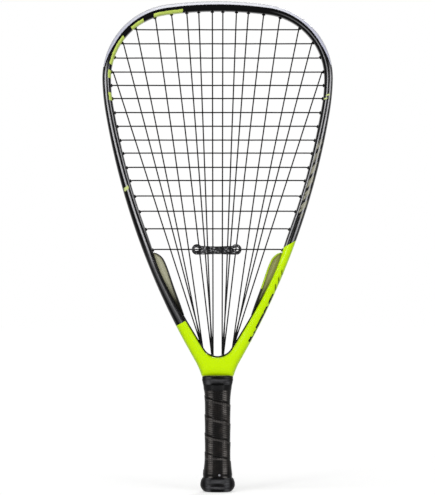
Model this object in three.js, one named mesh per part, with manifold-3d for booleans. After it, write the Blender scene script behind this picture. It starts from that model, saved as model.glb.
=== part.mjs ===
// A racquetball racket in millimetres. +Z runs from the butt end to the head, +X to the right,
// and the front face of the strings looks towards -Y. The frame is one hollow ring whose section
// follows the outline of the head; strings, guards and handle pieces are bodies of their own.
import * as THREE from 'three';
import { mergeVertices } from 'three/addons/utils/BufferGeometryUtils.js';
import Module from 'manifold-3d';

const wasm = await Module();
wasm.setup();

const radians = THREE.MathUtils.degToRad;

// Outline of the right half, from the top: crown, shoulder, side, arm taper, arm, throat
const headWidth = 262.6;
const crownRadius = 429;
const shoulderRadius = 84.7;
const shoulderEndTurn = radians(91.75);
const sideRadius = 267.5;
const sideEndTurn = radians(99.55);
const armTurn = radians(119.7);
const armStraightLength = 6.8;
const throatRadius = 82;
const throatEndTurn = radians(106.2);
const collarWidth = 36.2;
const handleLength = 131.4;

// Frame section
const tubeWidth = 10;
const beamDepth = 22;
const wallThickness = 1.25;
const grooveDepth = 3.2;
const grooveWidth = 7;
const guardRecessDepth = 2.4;
const armLean = radians(31);
const crotchRadius = 18;
const crotchRiseHeight = 41.3;
const linerThickness = 1.2;
const linerWidth = 13;

// Strings
const stringThickness = 1.3;
const weaveOffset = 0.82;
const crossPitch = 15.8;
const crossTopOffset = 30.9;
const sharedOffset = 0.9;
const tailLength = 5;
const barrelWidth = 3.8;
const boreWidth = 2.5;
const barrelReachLength = 1.3;
const bandThickness = 1;
const bandTailLength = 5;

// Throat ports
const outerPortOffset = 18.2;
const innerPortOffset = 5.9;
const portWidth = 8.2;
const portDepth = 6.4;
const portWallThickness = 0.9;
const portLipThickness = 0.8;
const pinWidth = 1.6;
const outerPinDepth = 12.7;
const innerPinDepth = 25.2;
const loopOffset = 0.9;
const stringsPerPort = 4;

// Fit between pieces that meet
const clearance = 0.3;

// Tube width and beam depth along the ring as [turn in degrees, share]
const tubeWidthShares = [[0, 1.19], [25, 1.12], [60, 1.03], [90, 1], [96, 0.98], [101, 1.04],
  [106, 1.08], [109.5, 1.14], [110.6, 1.12], [111.6, 1], [112.8, 0.95],
  [114.1, 1.04], [115.6, 1.13], [116.6, 1.22], [117.5, 1.28], [118.5, 1.39]];
const beamShares = [[0, 0.96], [90, 0.97], [105, 1], [118.5, 1.08]];
// Gaps between the cross strings in pitches, from the top one down
const crossGapShares = [1.04, 1.06, 1.04, 0.98, 0.95, 1.02, 0.99, 1, 0.94, 1.03, 0.95,
  1.12, 1.1, 1.27, 1.49];
// Holes of the ten middle main strings along the half width of the head, from the middle out
const crownHoleShares = [0.0457, 0.1637, 0.2673, 0.3998, 0.543];

// Cross strings that share a hole with a main string of each half, from its outermost main in
const sharedCrosses = [3, 1, 0];

const crotchHeight = handleLength + crotchRiseHeight;
const crossCount = crossGapShares.length + 1;
const crownHoleCount = crownHoleShares.length;
const mainCount = 2 * (crownHoleCount + sharedCrosses.length);
const barrelSides = 6;
const halvings = 40;
// Growth of an eight-sided ring's corner cut as its sides move out by one
const cornerGrowthShare = 2 - Math.SQRT2;

// A closed body from its corner list and faces, turned right side out.
function bodyFrom(corners, faces) {
  const make = list => new wasm.Manifold(new wasm.Mesh({
    numProp: 3,
    vertProperties: Float32Array.from(corners),
    triVerts: Uint32Array.from(list),
  }));
  const body = make(faces);
  if (body.volume() >= 0) return body;
  return make(faces.map((face, i) => faces[i - i % 3 + 2 - i % 3]));
}

function bodyOf(geometry) {
  const bare = geometry.clone();
  bare.deleteAttribute('normal');
  bare.deleteAttribute('uv');
  const merged = mergeVertices(bare);
  return bodyFrom(merged.attributes.position.array, Array.from(merged.index.array));
}

// Faces that close the flat ring of points, as indices into it.
function ringFaces(ring) {
  const normal = new THREE.Vector3();
  ring.forEach((point, i) => normal.add(point.clone().cross(ring[(i + 1) % ring.length])));
  const across = ring[1].clone().sub(ring[0]).normalize();
  const up = normal.normalize().clone().cross(across);
  const flat = ring.map(point => new THREE.Vector2(point.dot(across), point.dot(up)));
  return THREE.ShapeUtils.triangulateShape(flat, []);
}

// Skin over rings of equally many points: a closed hoop, or a bar with flat ends.
function loft(rings, hoop) {
  const count = rings[0].length;
  const corners = rings.flatMap(ring => ring.flatMap(point => point.toArray()));
  const faces = [];
  for (let i = 0; i < (hoop ? rings.length : rings.length - 1); i++) {
    const here = i * count;
    const next = (i + 1) % rings.length * count;
    for (let j = 0; j < count; j++) {
      const k = (j + 1) % count;
      faces.push(here + j, here + k, next + k, here + j, next + k, next + j);
    }
  }
  if (!hoop) {
    const end = (rings.length - 1) * count;
    ringFaces(rings[0]).forEach(([a, b, c]) => faces.push(c, b, a));
    ringFaces(rings[rings.length - 1]).forEach(([a, b, c]) => faces.push(end + a, end + b, end + c));
  }
  return bodyFrom(corners, faces);
}

const root = new THREE.Group();

function addPiece(name, body, material) {
  const mesh = body.getMesh();
  const geometry = new THREE.BufferGeometry();
  geometry.setAttribute('position', new THREE.Float32BufferAttribute(mesh.vertProperties, 3));
  geometry.setIndex(Array.from(mesh.triVerts));
  const shown = geometry.toNonIndexed();
  shown.computeVertexNormals();
  const part = new THREE.Mesh(shown, material);
  part.name = name;
  root.add(part);
}

// Outline
const outwardAt = turn => new THREE.Vector2(Math.sin(turn), Math.cos(turn));
const alongAt = turn => new THREE.Vector2(Math.cos(turn), -Math.sin(turn));
const arcRun = (radius, from, to) => outwardAt(to).sub(outwardAt(from)).multiplyScalar(radius);

const crownEndTurn = Math.asin((headWidth / 2 - shoulderRadius) / (crownRadius - shoulderRadius));
const armRun = alongAt(armTurn).multiplyScalar(armStraightLength);
const throatRun = arcRun(-throatRadius, armTurn, throatEndTurn);
const upperRun = arcRun(crownRadius, 0, crownEndTurn)
  .add(arcRun(shoulderRadius, crownEndTurn, shoulderEndTurn))
  .add(arcRun(sideRadius, shoulderEndTurn, sideEndTurn));
const taperReach = collarWidth / 2 - upperRun.x - armRun.x - throatRun.x;
const taperRadius = taperReach / (Math.sin(armTurn) - Math.sin(sideEndTurn));
const taperRun = arcRun(taperRadius, sideEndTurn, armTurn);
const headTop = handleLength - upperRun.y - taperRun.y - armRun.y - throatRun.y;

const arcs = [];
[[crownRadius, crownEndTurn], [shoulderRadius, shoulderEndTurn], [sideRadius, sideEndTurn],
  [taperRadius, armTurn]].forEach(([radius, to]) => {
  const before = arcs[arcs.length - 1];
  const from = before ? before.to : 0;
  const start = before ? before.end : new THREE.Vector2(0, headTop);
  arcs.push({ radius, from, to, start, end: start.clone().add(arcRun(radius, from, to)) });
});
const armFoot = arcs[arcs.length - 1].end;
const throatStart = armFoot.clone().add(armRun);

function outlineAt(turn) {
  const arc = arcs.find(a => turn <= a.to) || arcs[arcs.length - 1];
  return arc.start.clone().add(arcRun(arc.radius, arc.from, turn));
}

function shareAt(table, key) {
  const passed = table.filter(row => row[0] < key).length;
  const i = THREE.MathUtils.clamp(passed, 1, table.length - 1);
  const [[k0, v0], [k1, v1]] = [table[i - 1], table[i]];
  return THREE.MathUtils.lerp(v0, v1, THREE.MathUtils.clamp((key - k0) / (k1 - k0), 0, 1));
}

const degrees = THREE.MathUtils.radToDeg;
const widthAt = turn => tubeWidth * shareAt(tubeWidthShares, degrees(turn));
const halfBeamAt = turn => beamDepth / 2 * shareAt(beamShares, degrees(turn));
const innerAt = turn => outlineAt(turn).addScaledVector(outwardAt(turn), -widthAt(turn));

// The turn between two others at which a rising or falling measure meets its target.
function turnWhere(measure, target, from, to) {
  let [low, high] = [from, to];
  const rising = measure(to) > measure(from);
  for (let i = 0; i < halvings; i++) {
    const middle = (low + high) / 2;
    if (measure(middle) < target === rising) low = middle;
    else high = middle;
  }
  return (low + high) / 2;
}

// String holes
const crossHeights = [headTop - crossTopOffset];
crossGapShares.forEach((share, i) => crossHeights.push(crossHeights[i] - crossPitch * share));
const crossTurns = crossHeights.map(z => turnWhere(t => innerAt(t).y, z, crownEndTurn, armTurn));
const crownTurns = crownHoleShares.map(share =>
  turnWhere(t => innerAt(t).x, share * headWidth / 2, 0, shoulderEndTurn / 2));
// Main strings of one half from the outermost in
const mainTurns = sharedCrosses.map(i => crossTurns[i]).concat([...crownTurns].reverse());
const lastHoleTurn = crossTurns[crossCount - 1];

// Groove and guard recess along the ring
const turnFor = (length, radius) => length / radius;
const guardRampTurn = radians(62);
const guardEndTurn = radians(80);
const guardEndShare = 0.5;
const stepLength = 1.5;
const grooveFadeLength = 14;
const guardGapTurn = guardEndTurn + turnFor(clearance, shoulderRadius);
const guardStepTurn = guardGapTurn + turnFor(stepLength, shoulderRadius);
const bandEndTurn = lastHoleTurn + turnFor(bandTailLength, taperRadius);
const grooveFadeTurn = bandEndTurn + turnFor(clearance, taperRadius);
const grooveEndTurn = grooveFadeTurn + turnFor(grooveFadeLength, taperRadius);
const recessShares = [[0, 1], [degrees(guardRampTurn), 1], [degrees(guardGapTurn), guardEndShare],
  [degrees(guardStepTurn), 0]];
const grooveShares = [[0, 1], [degrees(grooveFadeTurn), 1], [degrees(grooveEndTurn), 0]];
const recessAt = turn => guardRecessDepth * shareAt(recessShares, degrees(turn));
const grooveAt = turn => grooveDepth * shareAt(grooveShares, degrees(turn));
const floorAt = turn => recessAt(turn) + grooveAt(turn);

// Frame
const fanOverrunLength = 12;
const frameCrotchRadius = crotchRadius + linerThickness + clearance;
const fanBottom = handleLength - fanOverrunLength;
const collarBeamShare = 1.14;

function lowerOutline(run) {
  if (run < armStraightLength) return armFoot.clone().addScaledVector(alongAt(armTurn), run);
  const turn = armTurn - (run - armStraightLength) / throatRadius;
  return throatStart.clone().add(arcRun(-throatRadius, armTurn, turn));
}

// Where the ray from the crotch centre, dropping by this angle, leaves the throat.
function fanOuter(drop) {
  const dropAt = run => {
    const point = lowerOutline(run);
    return Math.atan2(crotchHeight - point.y, point.x);
  };
  const longest = armStraightLength + throatRadius * (armTurn - Math.PI / 2);
  const point = lowerOutline(turnWhere(dropAt, drop, -armStraightLength, longest));
  if (point.y > fanBottom && drop < dropAt(longest)) return point;
  return new THREE.Vector2((crotchHeight - fanBottom) / Math.tan(drop), fanBottom);
}

function headStation(turn) {
  return { outer: outlineAt(turn), inner: innerAt(turn), half: halfBeamAt(turn),
    groove: grooveAt(turn), recess: recessAt(turn), plain: 0 };
}

function fanStation(drop) {
  const ray = new THREE.Vector2(Math.cos(drop), -Math.sin(drop));
  const inner = new THREE.Vector2(0, crotchHeight).addScaledVector(ray, frameCrotchRadius);
  const share = (drop - armLean) / (Math.PI / 2 - armLean);
  const foot = beamShares[beamShares.length - 1][1];
  const half = beamDepth / 2 * THREE.MathUtils.lerp(foot, collarBeamShare, share);
  return { outer: fanOuter(drop), inner, half, groove: 0, recess: 0, plain: share };
}

const ringEndTurn = radians(118.5);
const legs = [[crownEndTurn, 2], [guardRampTurn, 7], [guardGapTurn, 2], [guardStepTurn, 1],
  [shoulderEndTurn, 2], [sideEndTurn, 2], [grooveFadeTurn, 6], [grooveEndTurn, 1],
  [ringEndTurn, 6]];
const fanSteps = 7;

// Turns of the head's rings, shared by the frame and by the pieces that lie in its groove.
const ringTurns = [0];
legs.forEach(([to, steps], i) => {
  const from = i ? legs[i - 1][0] : 0;
  for (let k = 1; k <= steps; k++) ringTurns.push(from + (to - from) * k / steps);
});

function halfStations() {
  const stations = ringTurns.map(headStation);
  for (let k = 0; k <= fanSteps; k++) {
    stations.push(fanStation(armLean + (Math.PI / 2 - armLean) * k / fanSteps));
  }
  return stations;
}

// Section corners of one half as [distance in from the outline, distance from the mid plane].
const lipEaseWidth = 0.5;
const shoulderEaseWidth = 1.4;
const crestDepth = 3.3;
const innerCrestWidth = 2.4;
const innerEaseWidth = 0.6;
const shoulderShare = 0.74;
const valleyShare = 0.93;
const innerCrestShare = 0.93;
const innerShoulderShare = 0.62;
const innerWallShare = 0.3;
const crestSlopeShare = 0.6;

function tubeCorners({ half, groove, recess, plain, width }) {
  const valley = THREE.MathUtils.lerp(valleyShare, 1, plain);
  const crest = THREE.MathUtils.lerp(innerCrestShare, 1, plain);
  return [[recess + groove, grooveWidth / 2],
    [recess, grooveWidth / 2 + lipEaseWidth],
    [recess + shoulderEaseWidth, half * shoulderShare],
    [recess * crestSlopeShare + crestDepth, half],
    [(crestDepth + recess + width - innerCrestWidth) / 2, half * valley],
    [width - innerCrestWidth, half * crest],
    [width - innerEaseWidth, half * innerShoulderShare],
    [width, half * innerWallShare]];
}

function hollowCorners({ half, groove, recess, width }) {
  const start = recess + groove + wallThickness;
  return [[start, half * shoulderShare - wallThickness],
    [width - wallThickness, half * innerShoulderShare - wallThickness / 2]];
}

// One ring of space points from a station; side is 1 on the right and -1 on the left.
function ringAt(station, side, cornersOf) {
  const inward = station.inner.clone().sub(station.outer);
  const width = inward.length();
  inward.normalize();
  const half = cornersOf({ ...station, width });
  const full = half.concat(half.map(([a, v]) => [a, -v]).reverse());
  return full.map(([a, v]) => new THREE.Vector3(side * (station.outer.x + inward.x * a), v,
    station.outer.y + inward.y * a));
}

function hoopBody(cornersOf) {
  const right = halfStations();
  const left = right.slice(1, -1).reverse();
  return loft(right.map(s => ringAt(s, 1, cornersOf))
    .concat(left.map(s => ringAt(s, -1, cornersOf))), true);
}

// Everything under a height, as a block far wider than the part.
function blockBelow(height) {
  const size = headTop;
  return bodyOf(new THREE.BoxGeometry(size, size, size).translate(0, 0, height - size / 2));
}

function eightSided(width, depth, corner, height) {
  const [x, y] = [width / 2, depth / 2];
  return [[x, y - corner], [x - corner, y], [corner - x, y], [-x, y - corner],
    [-x, corner - y], [corner - x, -y], [x - corner, -y], [x, corner - y]]
    .map(([px, py]) => new THREE.Vector3(px, py, height));
}

const neckWidth = 31;
const neckDepth = 22.5;
const neckReachLength = 3;
const neckLedgeHeight = 0.6;
const neckLedgeShare = 0.78;
const neckCornerWidth = 5.5;
const shaftWidth = 20;
const shaftDepth = 16;
const shaftCornerWidth = 3.5;
const shaftBottomHeight = 4;
const collarLength = 10;
const neckFlareLength = 13;
const shaftWallThickness = 1.5;
const neckBottom = handleLength - collarLength;

function neckBody(grow, bottom, top) {
  const ring = (width, depth, corner, z) =>
    eightSided(width + 2 * grow, depth + 2 * grow, corner + grow * cornerGrowthShare, z);
  return loft([ring(neckWidth, neckDepth, neckCornerWidth, top),
    ring(neckWidth, neckDepth, neckCornerWidth, neckBottom + neckLedgeHeight),
    ring(neckWidth * neckLedgeShare, neckDepth * neckLedgeShare, neckCornerWidth * neckLedgeShare,
      neckBottom),
    ring(shaftWidth, shaftDepth, shaftCornerWidth, neckBottom - neckFlareLength),
    ring(shaftWidth, shaftDepth, shaftCornerWidth, bottom)]);
}

// A bar square to the outline at a hole; turned, its corners lie along the groove.
function holeBar(side, turn, radius, from, to, sides, depthShare) {
  const bar = new THREE.CylinderGeometry(radius, radius, to - from, sides, 1, false,
    Math.PI / sides).translate(0, -(from + to) / 2, 0);
  bar.scale(1, 1, depthShare);
  const [along, out] = [alongAt(turn), outwardAt(turn)];
  const outer = outlineAt(turn);
  bar.applyMatrix4(new THREE.Matrix4().makeBasis(new THREE.Vector3(along.x, 0, along.y),
    new THREE.Vector3(out.x, 0, out.y), new THREE.Vector3(0, -1, 0))
    .setPosition(outer.x, 0, outer.y));
  if (side < 0) return bodyOf(bar).scale([-1, 1, 1]);
  return bodyOf(bar);
}

const sharedDepthShare = 1.7;
const isShared = turn => sharedCrosses.some(i => crossTurns[i] === turn);
const holeTurns = [...crownTurns, ...crossTurns];
const barrelRadius = barrelWidth / 2;
const holeRadius = barrelRadius + clearance / Math.cos(Math.PI / barrelSides);
const depthShareAt = turn => (isShared(turn) ? sharedDepthShare : 1);

function frameBody() {
  const below = blockBelow(handleLength);
  const shell = hoopBody(tubeCorners).subtract(below)
    .add(neckBody(0, shaftBottomHeight, handleLength + neckReachLength));
  const belowFloor = blockBelow(handleLength + wallThickness);
  let hollow = hoopBody(hollowCorners).subtract(belowFloor)
    .add(neckBody(-shaftWallThickness, shaftBottomHeight - shaftWallThickness,
      handleLength + neckReachLength + shaftWallThickness));
  [-1, 1].forEach(side => holeTurns.forEach(turn => {
    const depth = floorAt(turn);
    hollow = hollow.add(holeBar(side, turn, holeRadius, depth - clearance,
      widthAt(turn) + clearance, barrelSides, depthShareAt(turn)));
  }));
  return shell.subtract(hollow);
}

const carbonPaint = new THREE.MeshStandardMaterial(
  { color: 0x121314, roughness: 0.25, metalness: 0.1 });

// Bumper guard and grommet strips
const channelWidth = 4.8;
const guardShoulderShare = 0.82;
const guardShoulderDepth = 1.2;
const guardFrontWidth = 2.9;
const guardLapWidth = 4.45;

// The guard's own corners: its outer skin, the lap over the face and the web in the groove.
function guardCorners({ half, groove, recess }) {
  const share = recess / guardRecessDepth;
  const under = recess - clearance;
  const web = recess + groove - clearance;
  return [[web - bandThickness, channelWidth / 2],
    [0, channelWidth / 2 + lipEaseWidth],
    [guardShoulderDepth * share, half * guardShoulderShare],
    [guardFrontWidth * share + (crestDepth - clearance) * (1 - share), half - clearance * (1 - share)],
    [guardLapWidth * share + crestDepth * (1 - share) - clearance * (1 - share), half],
    [under + shoulderEaseWidth, half * shoulderShare],
    [under, grooveWidth / 2 + lipEaseWidth - clearance],
    [web, grooveWidth / 2 - clearance]];
}

function bandCorners({ groove, recess }) {
  const web = recess + groove - clearance;
  const halfWidth = grooveWidth / 2 - clearance;
  return [[web - bandThickness, halfWidth], [web, halfWidth]];
}

// Adds a bored barrel for each of these holes to a guard or a band.
function withBarrels(body, side, turns) {
  let whole = body;
  let bores = null;
  turns.forEach(turn => {
    const web = floorAt(turn) - clearance;
    const end = widthAt(turn) + barrelReachLength;
    const share = depthShareAt(turn);
    whole = whole.add(holeBar(side, turn, barrelRadius, web - bandThickness / 2, end,
      barrelSides, share));
    const bore = holeBar(side, turn, boreWidth / 2, 0, end + barrelReachLength, barrelSides, share);
    bores = bores ? bores.add(bore) : bore;
  });
  return whole.subtract(bores);
}

function guardBody() {
  const turns = [...ringTurns.filter(turn => turn < guardEndTurn), guardEndTurn];
  const rings = turns.map(turn => ringAt(headStation(turn), 1, guardCorners));
  const mirrored = turns.slice(1).reverse()
    .map(turn => ringAt(headStation(turn), -1, guardCorners));
  const held = holeTurns.filter(turn => turn < guardEndTurn);
  return withBarrels(withBarrels(loft(mirrored.concat(rings), false), 1, held), -1, held);
}

function stripBody(side) {
  const turns = ringTurns.filter(turn => turn >= guardStepTurn && turn < bandEndTurn);
  const rings = [...turns, bandEndTurn].map(turn => ringAt(headStation(turn), side, bandCorners));
  return withBarrels(loft(rings, false), side, holeTurns.filter(turn => turn > guardEndTurn));
}

const clearGuard = new THREE.MeshStandardMaterial({ color: 0xc4c6d6, roughness: 0.3 });
const blackPlastic = new THREE.MeshStandardMaterial({ color: 0x18181a, roughness: 0.5 });

// Stabiliser fins and throat liner
const finWidth = 9;
const finWidthShares = [[111.15, 0.12], [111.35, 0.5], [111.7, 0.85], [112.1, 1], [112.9, 1],
  [114.2, 0.74], [115.6, 0.46], [116.6, 0.18]];
const finCornerShares = [[0, 1], [0.16, 0.82], [0.5, 0.66], [0.82, 0.74], [0.92, 0.86],
  [1, 0.76]];
const finDepth = 13.2;
const linerTopTurn = radians(116.8);

function finBody(side) {
  const rings = finWidthShares.map(([turn, share]) => {
    const station = headStation(radians(turn));
    return ringAt(station, side, ({ width }) => finCornerShares.map(([a, v]) =>
      [width + 2 * clearance + a * share * finWidth, v * finDepth / 2]));
  });
  return loft(rings, false);
}

function linerCorners({ width }) {
  const outer = width + clearance;
  return [[outer, linerWidth / 2], [outer + linerThickness, linerWidth / 2]];
}

function linerBody() {
  const head = [linerTopTurn, ...ringTurns.filter(turn => turn > linerTopTurn)].map(headStation);
  const right = head.concat(halfStations().slice(-fanSteps - 1));
  const rings = right.map(s => ringAt(s, 1, linerCorners))
    .concat(right.slice(0, -1).reverse().map(s => ringAt(s, -1, linerCorners)));
  return loft(rings, false);
}

// Throat ports: four cups in the crotch, each with a pin for the strings to turn round
const portCornerWidth = 1.6;
const portFloorThickness = 1.2;
const ports = [
  { name: 'throat_port_outer_left', x: -outerPortOffset, pin: crotchHeight - outerPinDepth },
  { name: 'throat_port_inner_left', x: -innerPortOffset, pin: crotchHeight - innerPinDepth },
  { name: 'throat_port_inner_right', x: innerPortOffset, pin: crotchHeight - innerPinDepth },
  { name: 'throat_port_outer_right', x: outerPortOffset, pin: crotchHeight - outerPinDepth },
];
const turnRadius = pinWidth / 2 + clearance + stringThickness / 2;
const loopDrop = turnRadius + stringThickness;

function portBar(port, shrink, bottom, top) {
  const corner = portCornerWidth - shrink * cornerGrowthShare;
  return loft([bottom, top].map(z =>
    eightSided(portWidth - 2 * shrink, portDepth - 2 * shrink, corner, z)), false)
    .translate([port.x, 0, 0]);
}

// The open space between the arms, out to the port lips.
function openThroat() {
  const radius = crotchRadius - portLipThickness;
  const tangent = Math.PI / 2 - armLean;
  const reach = beamDepth * 2;
  const shape = new THREE.Shape();
  const rise = new THREE.Vector2(Math.sin(armLean), Math.cos(armLean)).multiplyScalar(reach);
  const touch = new THREE.Vector2(Math.cos(armLean), -Math.sin(armLean)).multiplyScalar(radius);
  shape.moveTo(touch.x + rise.x, touch.y + rise.y);
  shape.lineTo(-touch.x - rise.x, touch.y + rise.y);
  shape.lineTo(-touch.x, touch.y);
  shape.absarc(0, 0, radius, Math.PI + armLean, 2 * Math.PI - armLean, false);
  const prism = new THREE.ExtrudeGeometry(shape, { depth: reach, bevelEnabled: false,
    curveSegments: 2 * fanSteps });
  prism.rotateX(Math.PI / 2).translate(0, reach / 2, crotchHeight);
  return bodyOf(prism);
}

const portBottom = port => port.pin - loopDrop - portFloorThickness;

// Height of the port lips' surface at a distance from the middle.
function lipHeight(x) {
  const radius = crotchRadius - portLipThickness;
  const touch = radius * Math.cos(armLean);
  if (x < touch) return crotchHeight - Math.sqrt(radius ** 2 - x ** 2);
  return crotchHeight - radius * Math.sin(armLean) + (x - touch) / Math.tan(armLean);
}

function portBody(port, open) {
  const pin = new THREE.CylinderGeometry(pinWidth / 2, pinWidth / 2, portDepth - portWallThickness,
    barrelSides).translate(port.x, 0, port.pin);
  return portBar(port, 0, portBottom(port), crotchHeight + crotchRadius)
    .subtract(portBar(port, portWallThickness, portBottom(port) + portFloorThickness,
      crotchHeight + headWidth))
    .subtract(open)
    .add(bodyOf(pin));
}

// Strings
const matchingSide = Math.sqrt(Math.PI) / 2 * stringThickness;
const mouthReach = barrelReachLength + stringThickness / 2;
const cordDrop = clearance + bandThickness + clearance + stringThickness / 2;
const cornerLength = 0.75;
const roundAngle = radians(60);
const grooveStep = radians(6);
const holeMarginLength = 4;

// A spot inside the outline at a signed turn: negative on the left half.
function spotAt(turn, depth, y) {
  const point = outlineAt(Math.abs(turn)).addScaledVector(outwardAt(Math.abs(turn)), -depth);
  return new THREE.Vector3(Math.sign(turn) * point.x, y, point.y);
}
// Strings leave the recess of the guard on a slope that clears the step at its end.
const cordSlopeShares = [[degrees(guardRampTurn), 1], [degrees(guardEndTurn), 0]];
const cordFloorAt = turn => grooveAt(turn) + guardRecessDepth * shareAt(cordSlopeShares, degrees(turn));
const grooveSpot = (turn, y) => spotAt(turn, cordFloorAt(Math.abs(turn)) - cordDrop, y);
const mouthSpot = (turn, y) => spotAt(turn, widthAt(Math.abs(turn)) + mouthReach, y);

function grooveRun(from, to, y) {
  const count = Math.ceil(Math.abs(to - from) / grooveStep);
  return Array.from({ length: count + 1 }, (_, k) =>
    grooveSpot(from + (to - from) * k / count, y));
}

// Worm through the strings above the throat
const wormThickness = 2;
const wormPlaneOffset = -0.8;
const wormRiseHeight = 4.4;
const wormDropHeight = 5.4;
const wormTop = crossHeights[crossCount - 1] + wormRiseHeight;
const wormBottom = crossHeights[crossCount - 1] - wormDropHeight;
const wormFrom = 3;
const wormTo = 11;
const swing = wormThickness / 2 + clearance + stringThickness / 2;
const wormFrontY = wormPlaneOffset - swing;
const wormCrossY = wormPlaneOffset + swing;
const wormBackY = wormCrossY + stringThickness + clearance;
const inWorm = i => i >= wormFrom && i <= wormTo;

// Main strings from the left, each a straight fan line from its hole to its port.
const mains = Array.from({ length: mainCount }, (_, i) => {
  const onLeft = i < mainCount / 2;
  const slot = onLeft ? i : mainCount - 1 - i;
  const turn = (onLeft ? -1 : 1) * mainTurns[slot];
  const y = slot < sharedCrosses.length ? sharedOffset : 0;
  const port = ports[Math.floor(i / stringsPerPort)];
  const hand = i % 2 ? 1 : -1;
  const loopY = i % stringsPerPort < stringsPerPort / 2 ? loopOffset : -loopOffset;
  const lip = lipHeight(Math.abs(port.x) + portWidth / 2) + clearance;
  const foot = new THREE.Vector3(port.x + hand * turnRadius, loopY, lip);
  return { turn, y, port, loopY, foot, mouth: mouthSpot(turn, y) };
});
const mainX = (main, z) => THREE.MathUtils.mapLinear(z, main.mouth.z, main.foot.z,
  main.mouth.x, main.foot.x);
const meets = (i, j) => crossHeights[j] < mains[i].mouth.z - holeMarginLength;
// The lowest rows cross steeper strings, so they swing wider.
const lowRowCount = 3;
const lowSwingShare = 1.3;
const swingOf = (i, j) => weaveOffset * ((i + j) % 2 ? -1 : 1)
  * (j < crossCount - lowRowCount ? 1 : lowSwingShare);

function mainPoints(i) {
  const main = mains[i];
  const points = [main.mouth];
  crossHeights.forEach((z, j) => {
    if (!meets(i, j)) return;
    if (j === crossCount - 1 && inWorm(i)) {
      const y = swingOf(i, j) < 0 ? wormFrontY : wormBackY;
      const [top, bottom] = [wormTop + stringThickness, wormBottom - stringThickness];
      points.push(new THREE.Vector3(mainX(main, top), y, top));
      points.push(new THREE.Vector3(mainX(main, bottom), y, bottom));
      return;
    }
    points.push(new THREE.Vector3(mainX(main, z), swingOf(i, j), z));
  });
  points.push(main.foot);
  return points;
}

// The half turn round a port's pin, from its left side to its right side.
function pinTurn(main) {
  const steps = 4;
  return Array.from({ length: steps + 1 }, (_, k) => {
    const angle = Math.PI * (1 + k / steps);
    return new THREE.Vector3(main.port.x + turnRadius * Math.cos(angle), main.loopY,
      main.port.pin + turnRadius * Math.sin(angle));
  });
}

const tailTurn = turn =>
  turnFor(tailLength, Math.abs(turn) > sideEndTurn ? taperRadius : shoulderRadius);

function mainPath() {
  const path = [];
  const first = mains[0];
  path.push(...grooveRun(first.turn + tailTurn(first.turn), first.turn, first.y));
  mains.forEach((main, i) => {
    if (i % 2) {
      path.push(...mainPoints(i).reverse());
      const next = mains[i + 1];
      if (next) path.push(...grooveRun(main.turn, next.turn, main.y));
      else path.push(...grooveRun(main.turn, main.turn + tailTurn(main.turn), main.y));
    } else {
      path.push(...mainPoints(i), ...pinTurn(main));
    }
  });
  return path;
}

function crossPoints(j) {
  const z = crossHeights[j];
  const y = isShared(crossTurns[j]) ? -sharedOffset : 0;
  const points = [mouthSpot(-crossTurns[j], y)];
  mains.forEach((main, i) => {
    if (!meets(i, j)) return;
    const atWorm = j === crossCount - 1 && inWorm(i);
    points.push(new THREE.Vector3(mainX(main, z), atWorm ? wormCrossY : -swingOf(i, j), z));
  });
  points.push(mouthSpot(crossTurns[j], y));
  return points;
}

function crossPath() {
  const path = [];
  const yOf = j => (isShared(crossTurns[j]) ? -sharedOffset : 0);
  path.push(...grooveRun(-crossTurns[0] + tailTurn(crossTurns[0]), -crossTurns[0], yOf(0)));
  crossTurns.forEach((turn, j) => {
    const side = j % 2 ? -1 : 1;
    path.push(...(side > 0 ? crossPoints(j) : crossPoints(j).reverse()));
    const to = crossTurns[j + 1] || turn - tailTurn(turn);
    const run = grooveRun(side * turn, side * to, 0);
    run.forEach((point, k) => {
      const yNext = yOf(Math.min(j + 1, crossCount - 1));
      point.y = THREE.MathUtils.lerp(yOf(j), yNext, k / (run.length - 1));
    });
    path.push(...run);
  });
  return path;
}

// Sharp corners of a path cut off.
function eased(path) {
  return path.flatMap((point, i) => {
    if (!i || i === path.length - 1) return [point];
    const back = path[i - 1].clone().sub(point);
    const ahead = path[i + 1].clone().sub(point);
    if (Math.PI - back.angleTo(ahead) < roundAngle) return [point];
    return [back, ahead].map(leg =>
      point.clone().addScaledVector(leg.normalize(), cornerLength));
  });
}

// A path whose sweep takes its sections at the given points, square to the mean direction there
// and never twisted out of the string plane.
class PointPath extends THREE.Curve {
  constructor(points) {
    super();
    this.points = points;
  }

  getSpacedPoints() {
    return this.points;
  }

  computeFrenetFrames() {
    const frames = { tangents: [], normals: [], binormals: [] };
    const last = this.points.length - 1;
    this.points.forEach((here, i) => {
      const before = here.clone().sub(this.points[i ? i - 1 : 0]).normalize();
      const after = this.points[Math.min(i + 1, last)].clone().sub(here).normalize();
      const tangent = before.add(after).normalize();
      const normal = new THREE.Vector3(0, 1, 0).projectOnPlane(tangent).normalize();
      frames.tangents.push(tangent);
      frames.normals.push(normal);
      frames.binormals.push(tangent.clone().cross(normal));
    });
    return frames;
  }
}

function cordBody(points) {
  const half = matchingSide / 2;
  const section = new THREE.Shape([[half, half], [-half, half], [-half, -half], [half, -half]]
    .map(([x, y]) => new THREE.Vector2(x, y)));
  return bodyOf(new THREE.ExtrudeGeometry(section,
    { steps: points.length - 1, extrudePath: new PointPath(points) }));
}

const cordMaterial = new THREE.MeshStandardMaterial({ color: 0x101010, roughness: 0.45 });
const throatOpening = openThroat();

// Vibration dampener: a flat worm with a ring at each end
// Its ends lie at shares of the way from the last string that it carries to the next one out
const wormLeftShare = 0.819;
const wormRightShare = 0.6;
const ringWidth = 12.2;
const ringHoleWidth = 4;
const teardropLength = 7;
const teardropHeight = 3;
const wormSegments = 8;

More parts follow.
